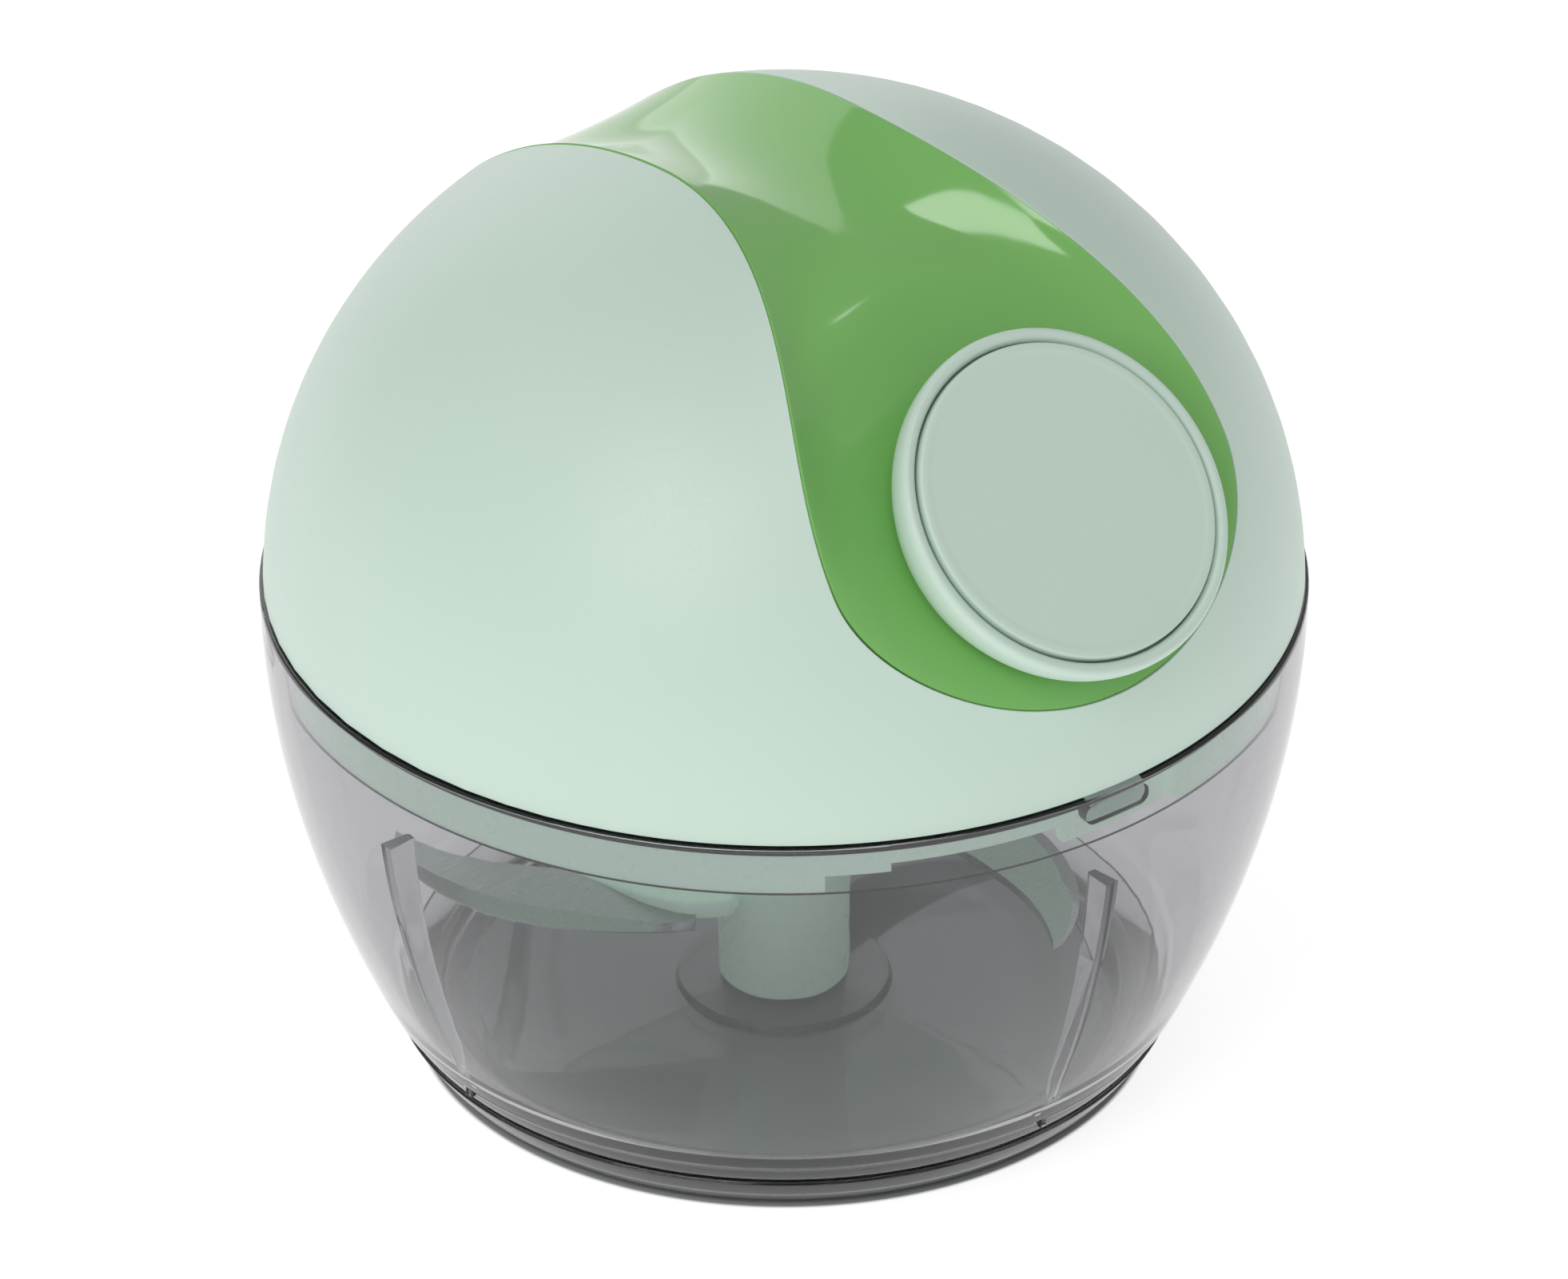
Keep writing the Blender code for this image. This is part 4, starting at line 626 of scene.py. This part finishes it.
# ---------------------------------------------------------------- lid
def make_lid_base():
    """Skirt and plate that close the bowl, with pockets for the lugs and a raised run of its lower edge."""
    inner = SKIRT_RADIUS - SKIRT_THICKNESS
    seal_bottom = SEAL_LOW.z
    notch = bowl_inside(seal_bottom) - 1.25 - 2 * GAP
    upstand = inner + 1.9
    bore = 7.2
    profile = [(bore, PLATE_UNDER - 1.2), (COLLAR_RADIUS, PLATE_UNDER - 1.2, 0.3),
               (COLLAR_RADIUS + 0.6, PLATE_UNDER), (inner, PLATE_UNDER, 0.4),
               (inner + 0.3, SKIRT_BOTTOM, 0.3), (SKIRT_RADIUS, SKIRT_BOTTOM, 0.3),
               (SKIRT_RADIUS, seal_bottom - GAP, 0.1),
               (notch, seal_bottom - GAP), (notch, DOME_EDGE - 0.6), (upstand, DOME_EDGE - 0.6),
               (upstand, LID_HIGH.z), (inner, LID_HIGH.z), (inner, PLATE_TOP, 0.4),
               (COLLAR_RADIUS + 0.6, PLATE_TOP), (COLLAR_RADIUS, PLATE_TOP + 1.5), (bore, PLATE_TOP + 1.5)]
    lid = add_piece("lid_skirt", turned(profile), SKIRT_ABS_PAINTED_GLOW, "lid_unit", ("lid_base",))
    face = bowl_inside(LUG_CENTRE) - LUG_DEPTH - 0.4
    half_lug = math.degrees(LUG_LENGTH / 2.0 / face)
    lug_top = LUG_CENTRE + LUG_HEIGHT / 2.0
    pockets = bmesh.new()
    cams = bmesh.new()
    for lug in range(LUG_COUNT):
        at = 360.0 / LUG_COUNT * lug
        sector(pockets, face, RIM_RADIUS, at - TWIST_ANGLE - half_lug - 1.0, at + 10.0, SKIRT_BOTTOM - 1.0,
               lug_top + 0.2, 24)
        sector(cams, inner - 0.4, RIM_RADIUS, at + CAM_START, at + CAM_END, SKIRT_BOTTOM - 1.0,
               SKIRT_BOTTOM + CAM_RISE, 20)
    cut(lid, pockets)
    cut(lid, cams)


def make_seals():
    """The grey ring under the rim, and two thin dark rings of painted shade: dark lines at the skirt's lower
    edge and just under the rim.
    """
    # painted shade: thin dark rings that stand in for the shaded lines at the skirt's lower edge and under
    # the rim
    for name, low, high in (("skirt_shade_line", SKIRT_BOTTOM, SKIRT_BOTTOM + 0.16),
                            ("rim_shade_line", BOWL_HEIGHT - 1.7, BOWL_HEIGHT - 1.56)):
        reach = bowl_inside(low) - 0.06
        shade_line_profile = [(reach - 0.2, low), (reach, low), (reach, high), (reach - 0.2, high)]
        add_piece(name, turned(shade_line_profile), DARK_SILICONE_AND_PAINTED_SHADE, "lid_unit")
    outer = SEAL_HIGH.x
    profile = [(outer - 1.25, SEAL_LOW.z), (outer, SEAL_LOW.z, 0.3), (outer, SEAL_HIGH.z, 0.3),
               (outer - 1.25, SEAL_HIGH.z)]
    add_piece("rim_seal", turned(profile), SILICONE, "seal_ring", ("lid_seal",))


def saddle_width(angle, margin):
    """Half width of the saddle at a side angle."""
    turn = math.degrees(margin / DOME_RADIUS)
    wide = SADDLE_HALF_WIDTH - margin
    waist = WAIST_HALF_WIDTH - margin
    back = SADDLE_BACK - SADDLE_BACK_ROUND
    if angle < SADDLE_WIDEST:
        share = (SADDLE_WIDEST - angle) / (SADDLE_WIDEST - SADDLE_FRONT - turn)
        return wide * math.sqrt(max(0.0, 1.0 - share * share))
    if angle < SADDLE_WAIST:
        u = (angle - SADDLE_WIDEST) / (SADDLE_WAIST - SADDLE_WIDEST)
        return waist + (wide - waist) * 0.5 * (1.0 + math.cos(math.pi * u))
    if angle < back:
        return waist
    share = (angle - back) / (SADDLE_BACK_ROUND - turn)
    return waist * math.sqrt(max(0.0, 1.0 - share * share))


def saddle_angle(q, margin):
    """Side angle of a share q that goes from -1 at the front to 1 at the back."""
    turn = math.degrees(margin / DOME_RADIUS)
    front = SADDLE_FRONT + turn
    back = SADDLE_BACK - turn
    return front + (back - front) * 0.5 * (1.0 + q)


def dome_point(angle, x):
    """Point of the dome's surface, from its middle, at a side angle and an offset x."""
    share = math.sqrt(max(0.0, 1.0 - (x / DOME_RADIUS) ** 2))
    a = math.radians(angle)
    return Vector((x, -share * DOME_RADIUS * math.cos(a), share * DOME_HEIGHT * math.sin(a)))


def saddle_depth(angle, v, surface):
    """How far the saddle dips below the dome, as a share of the distance to the dome's middle."""
    flat = max(0.0, 1.0 - SEAT_DISTANCE / max(1.0, PULL_DIRECTION.dot(surface)))
    valley = VALLEY_DEPTH / surface.length * smoothstep(30.0, 78.0, angle)
    valley *= 1.0 - smoothstep(SADDLE_BACK - 35.0, SADDLE_BACK, angle)
    blend = 0.02
    near = max(0.0, 1.0 - abs(flat - valley) / blend) * smoothstep(30.0, 45.0, angle)
    deep = max(flat, valley) + 0.25 * blend * near * near
    power = 2.0 + 12.0 * (1.0 - smoothstep(45.0, 80.0, angle))
    return deep * (1.0 - abs(v) ** power)


def make_saddle():
    """The green band: a grid laid over the dome, dipped to the knob's flat seat and the valley behind it."""
    bm = bmesh.new()
    bmesh.ops.create_grid(bm, x_segments=72, y_segments=110, size=1.0)
    margin = GAP
    for vert in bm.verts:
        u, w = vert.co.x, vert.co.y
        p = u * math.sqrt(1.0 - 0.5 * w * w)
        q = w * math.sqrt(1.0 - 0.5 * u * u)
        angle = saddle_angle(q, margin)
        chord = math.sqrt(max(1e-9, 1.0 - q * q))
        v = max(-1.0, min(1.0, p / chord))
        x = v * saddle_width(angle, margin)
        surface = dome_point(angle, x)
        vert.co = DOME_CENTRE + surface * (1.0 - saddle_depth(angle, v, surface))
    cover = add_piece("saddle_band", bm, GLOSS_ABS, "lid_unit", ("saddle_cover",),
                      thickness=SADDLE_WALL - 0.4, rounding=0.5)
    face_outwards(cover)


def make_dome():
    """The satin dome: meridians that run from the edge of the lid up to the saddle's outline."""
    bm = bmesh.new()
    around, up = 288, 60
    bmesh.ops.create_grid(bm, x_segments=around, y_segments=up, size=1.0)
    foot = math.asin((DOME_EDGE - BOWL_HEIGHT) / DOME_HEIGHT)
    for vert in bm.verts:
        turn = math.pi * vert.co.x
        t = 0.5 * (1.0 + vert.co.y)
        angle = saddle_angle(-math.cos(turn), 0.0)
        top = dome_point(angle, math.copysign(saddle_width(angle, 0.0), turn))
        azimuth = math.atan2(top.x, -top.y)
        height = math.asin(min(1.0, top.z / DOME_HEIGHT))
        a = foot + (height - foot) * t
        reach = DOME_RADIUS * math.cos(a)
        vert.co = DOME_CENTRE + Vector((reach * math.sin(azimuth), -reach * math.cos(azimuth),
                                        DOME_HEIGHT * math.sin(a)))
    bmesh.ops.remove_doubles(bm, verts=bm.verts, dist=1e-3)
    dome = add_piece("dome_cover", bm, SATIN_ABS, "lid_unit", ("dome_shell",),
                     thickness=DOME_WALL, rounding=0.45)
    face_outwards(dome)


# ---------------------------------------------------------------- knob and cord
def make_knob():
    """The pull knob: a rounded cup with a rolled lip, and the flat cap that is pressed into it."""
    bottom = -KNOB_HEIGHT
    lip = -0.35
    side = []
    for i in range(13):
        t = i / 12
        bulge = math.sin(math.pi * t / 2)
        side.append((KNOB_BASE_RADIUS + (KNOB_RADIUS - KNOB_BASE_RADIUS) * bulge,
                     bottom + 0.6 + (KNOB_HEIGHT - 1.9) * t))
    ledge = -CAP_THICKNESS - GAP
    inner = KNOB_BASE_RADIUS - 1.6
    hole = CORD_RADIUS + 0.5
    profile = [(hole, bottom), (KNOB_BASE_RADIUS - 0.5, bottom, 0.4)] + side
    profile += [(KNOB_RADIUS - 0.15, lip - 0.3, 0.25), (KNOB_RADIUS - 0.6, lip + 0.05, 0.25),
                (CAP_RADIUS + 0.75, lip - 0.1, 0.25), (CAP_RADIUS + 0.3, lip - 0.6, 0.2),
                (CAP_RADIUS + 0.3, ledge), (inner, ledge), (inner, bottom + KNOB_WALL),
                (hole, bottom + KNOB_WALL)]
    add_piece("knob_body", turned(profile), SATIN_ABS, "pull_knob", ("handle_body",),
              KNOB_PLACE)
    wall = KNOB_BASE_RADIUS - 2.0
    profile = [(0.0, -0.1), (CAP_RADIUS - 1.5, -0.1, 0.3), (CAP_RADIUS - 1.0, 0.0, 0.25),
               (CAP_RADIUS, -0.05, 0.35), (CAP_RADIUS, -CAP_THICKNESS, 0.1), (wall, -CAP_THICKNESS),
               (wall, -CAP_THICKNESS - 1.6),
               (wall - 1.4, -CAP_THICKNESS - 1.6), (wall - 1.4, -CAP_THICKNESS), (0.0, -CAP_THICKNESS)]
    add_piece("knob_cap", turned(profile), SATIN_ABS, "pull_knob", ("handle_cap",),
              KNOB_PLACE)


def make_eyelet():
    """The steel ring in the saddle that the cord runs out of."""
    top = SEAT_DISTANCE - PULL_DIRECTION.dot(KNOB_CENTRE - DOME_CENTRE) - 0.1
    under = top + 0.1 - SADDLE_WALL - GAP
    profile = [(1.9, under - 1.2, 0.2), (1.9, top, 0.6), (3.3, top, 0.3), (3.3, under), (5.3, under, 0.1),
               (5.3, under - 1.2, 0.2)]
    add_piece("eyelet_ring", turned(profile, SMALL_STEPS), TURNED_STEEL, "lid_unit",
              ("cord_eyelet",), KNOB_PLACE)


def cord_tube(points):
    """A closed tube of the cord's thickness along a row of points."""
    bm = bmesh.new()
    circle = bmesh.ops.create_circle(bm, segments=12, radius=CORD_RADIUS)["verts"]
    edges = list({edge for vert in circle for edge in vert.link_edges})
    heading = [(b - a).normalized() for a, b in zip(points, points[1:])]
    heading.append(heading[-1])
    rest = [vert.co.copy() for vert in circle]
    ring = circle
    for i, (point, ahead) in enumerate(zip(points, heading)):
        if i:
            grown = bmesh.ops.extrude_edge_only(bm, edges=edges)["geom"]
            edges = [item for item in grown if isinstance(item, bmesh.types.BMEdge)]
            found = [item for item in grown if isinstance(item, bmesh.types.BMVert)]
            ring = [min(found, key=lambda v, r=vert: (v.co - r.co).length) for vert in ring]
        place = Matrix.Translation(point) @ ahead.to_track_quat("Z", "X").to_matrix().to_4x4()
        for vert, co in zip(ring, rest):
            vert.co = place @ co
    bmesh.ops.holes_fill(bm, edges=[edge for edge in bm.edges if edge.is_boundary])
    return bm


def make_cord():
    """The cord from its winding over the guide ring and out to the knot."""
    cord_height = (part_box("cord_winding")[0].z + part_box("cord_winding")[1].z) / 2.0 / MM
    along = (KNOB_CENTRE.z - cord_height) / math.sin(PULL_ANGLE)
    guide = KNOB_CENTRE - PULL_DIRECTION * along
    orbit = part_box("cord_winding")[1].x / MM + CORD_RADIUS + GAP
    swing = math.degrees(math.acos(orbit / math.hypot(guide.x, guide.y)))
    x, y = polar(orbit, -swing)
    start = Vector((x, y, cord_height))
    leaving = (guide - start).normalized()
    end = KNOB_CENTRE - PULL_DIRECTION * (KNOB_HEIGHT - KNOB_WALL - GAP)
    turn = bezier([guide - leaving * 4.0, guide, guide + PULL_DIRECTION * 4.0], 10)
    points = [start.lerp(turn[0], i / 10) for i in range(10)] + turn
    points += [turn[-1].lerp(end, (i + 1) / 60) for i in range(60)]
    cord = add_piece("pull_cord", cord_tube(points), CORD, None)
    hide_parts("cord_run")
    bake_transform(cord)


# ---------------------------------------------------------------- parts carried over
def dress(node, finish):
    """Gives a CAD node its real finish."""
    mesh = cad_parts[node].data
    mesh.materials.clear()
    mesh.materials.append(finish)


FINISHES = (
    (ACETAL, ("drive_housing", "spring_case", "spool", "drive_rotor")),
    (BLUED_STEEL, ("recoil_spring",)),
    (CORD, ("cord_winding", "cord_knot")),
    (TURNED_STEEL, ("pivot_pin", "housing_screw_1", "housing_screw_2", "housing_screw_3", "centre_axle",
                    "pawl_a", "pawl_b", "rotor_washer", "cord_guide")))
for finish, nodes in FINISHES:
    for name in nodes:
        dress(name, finish)

make_bowl()
make_base_pad()
make_hub()
make_arms()
make_socket()
for name, z, azimuth, reach in BLADES:
    make_blade(name, z, azimuth, reach)
make_lid_base()
make_seals()
make_dome()
make_saddle()
make_knob()
make_eyelet()
make_cord()


# ---------------------------------------------------------------- floor, light and camera
def outward(azimuth, elevation):
    """Unit vector at an azimuth from -Y towards +X and an elevation, both in degrees."""
    a, e = math.radians(azimuth), math.radians(elevation)
    return Vector((math.sin(a) * math.cos(e), -math.cos(a) * math.cos(e), math.sin(e)))


def make_floor():
    """A sheet of matt white paper that glows evenly white, with a painted shadow under the foot, where its
    glow is cut to nothing.
    """
    edge_blur = GAP
    bm = bmesh.new()
    bmesh.ops.create_grid(bm, x_segments=1, y_segments=1, size=6.0)
    mesh = bpy.data.meshes.new("floor")
    bm.to_mesh(mesh)
    bm.free()
    made, tree, shader, place = new_material("paper_matt_white")
    fibres = add_node(tree, "ShaderNodeTexNoise", {"Vector": place, "Scale": grains(1.5)})
    bump = add_node(tree, "ShaderNodeBump", {"Height": fibres.outputs["Fac"], "Distance": 0.01 * MM})
    tree.links.new(bump.outputs["Normal"], shader.inputs["Normal"])
    shader.inputs["Base Color"].default_value = linear("B4B4B4")
    shader.inputs["Roughness"].default_value = 0.9
    shader.inputs["Emission Color"].default_value = (1.0, 1.0, 1.0, 1.0)
    plan = add_node(tree, "ShaderNodeVectorMath", {0: place, 1: (1.0, 1.0, 0.0)}, operation="MULTIPLY")
    radius = add_node(tree, "ShaderNodeVectorMath", {0: plan.outputs["Vector"]}, operation="LENGTH")
    # painted shadow: the glow falls to nothing under the foot, where the chopper stands
    glow = add_node(tree, "ShaderNodeMapRange", {"Value": radius.outputs["Value"],
                                                 "From Min": (FOOT_RADIUS - edge_blur) * MM,
                                                 "From Max": (FOOT_RADIUS + edge_blur) * MM,
                                                 "To Min": 0.0, "To Max": 0.8})
    tree.links.new(glow.outputs["Result"], shader.inputs["Emission Strength"])
    mesh.materials.append(made)
    floor = bpy.data.objects.new("floor", mesh)
    bpy.context.collection.objects.link(floor)


LIT_POINT = Vector((0.0, 0.0, 0.07))     # what the soft boxes face, in metres


def make_light(name, azimuth, elevation, distance, size, power, turn=0.0, fills=True):
    """A soft box that faces the lid, turned about its own axis; one that doesn't fill only shows in gloss."""
    lamp = bpy.data.lights.new(name, "AREA")
    lamp.shape = "RECTANGLE"
    lamp.size, lamp.size_y = size
    lamp.energy = power
    made = bpy.data.objects.new(name, lamp)
    away = outward(azimuth, elevation)
    made.location = LIT_POINT + away * distance
    facing = away.to_track_quat("Z", "Y").to_matrix() @ Matrix.Rotation(math.radians(turn), 3, "Z")
    made.rotation_euler = facing.to_euler()
    made.visible_diffuse = fills
    bpy.context.collection.objects.link(made)


def make_sky(strength):
    """White light from every side."""
    world = bpy.data.worlds.new("studio")
    bpy.context.scene.world = world
    world.use_nodes = True
    background = world.node_tree.nodes["Background"]
    background.inputs["Color"].default_value = (1.0, 1.0, 1.0, 1.0)
    background.inputs["Strength"].default_value = strength


def make_camera(azimuth, elevation, distance, target, lens):
    """A long lens that looks down at the chopper from its front left."""
    camera = bpy.data.objects.new("camera", bpy.data.cameras.new("camera"))
    bpy.context.collection.objects.link(camera)
    bpy.context.scene.camera = camera
    back = outward(azimuth, elevation)
    camera.location = target + back * distance
    camera.rotation_euler = back.to_track_quat("Z", "Y").to_euler()
    camera.data.lens = lens
    camera.data.sensor_width = 36.0
    camera.data.clip_end = 20.0


make_floor()
make_sky(0.51)
# large and soft from the left: the broad shading of the dome
make_light("key_box", -72.0, 42.0, 1.2, (0.7, 0.7), 4.8)
# long and narrow overhead: the slanted highlight on the glossy saddle
make_light("strip_box", 16.8, 72.8, 1.0, (0.22, 0.91), 3.2, 119.5, False)
# low behind: the bright rims of the saddle and the bowl
make_light("rear_box", 155.0, 25.0, 1.2, (1.1, 1.1), 4.2, 0.0, False)
make_camera(-39.5, 31.32, 2.03927, Vector((0.0, 0.0, 0.053756)), 377.2)
bpy.context.scene.view_settings.view_transform = "Standard"
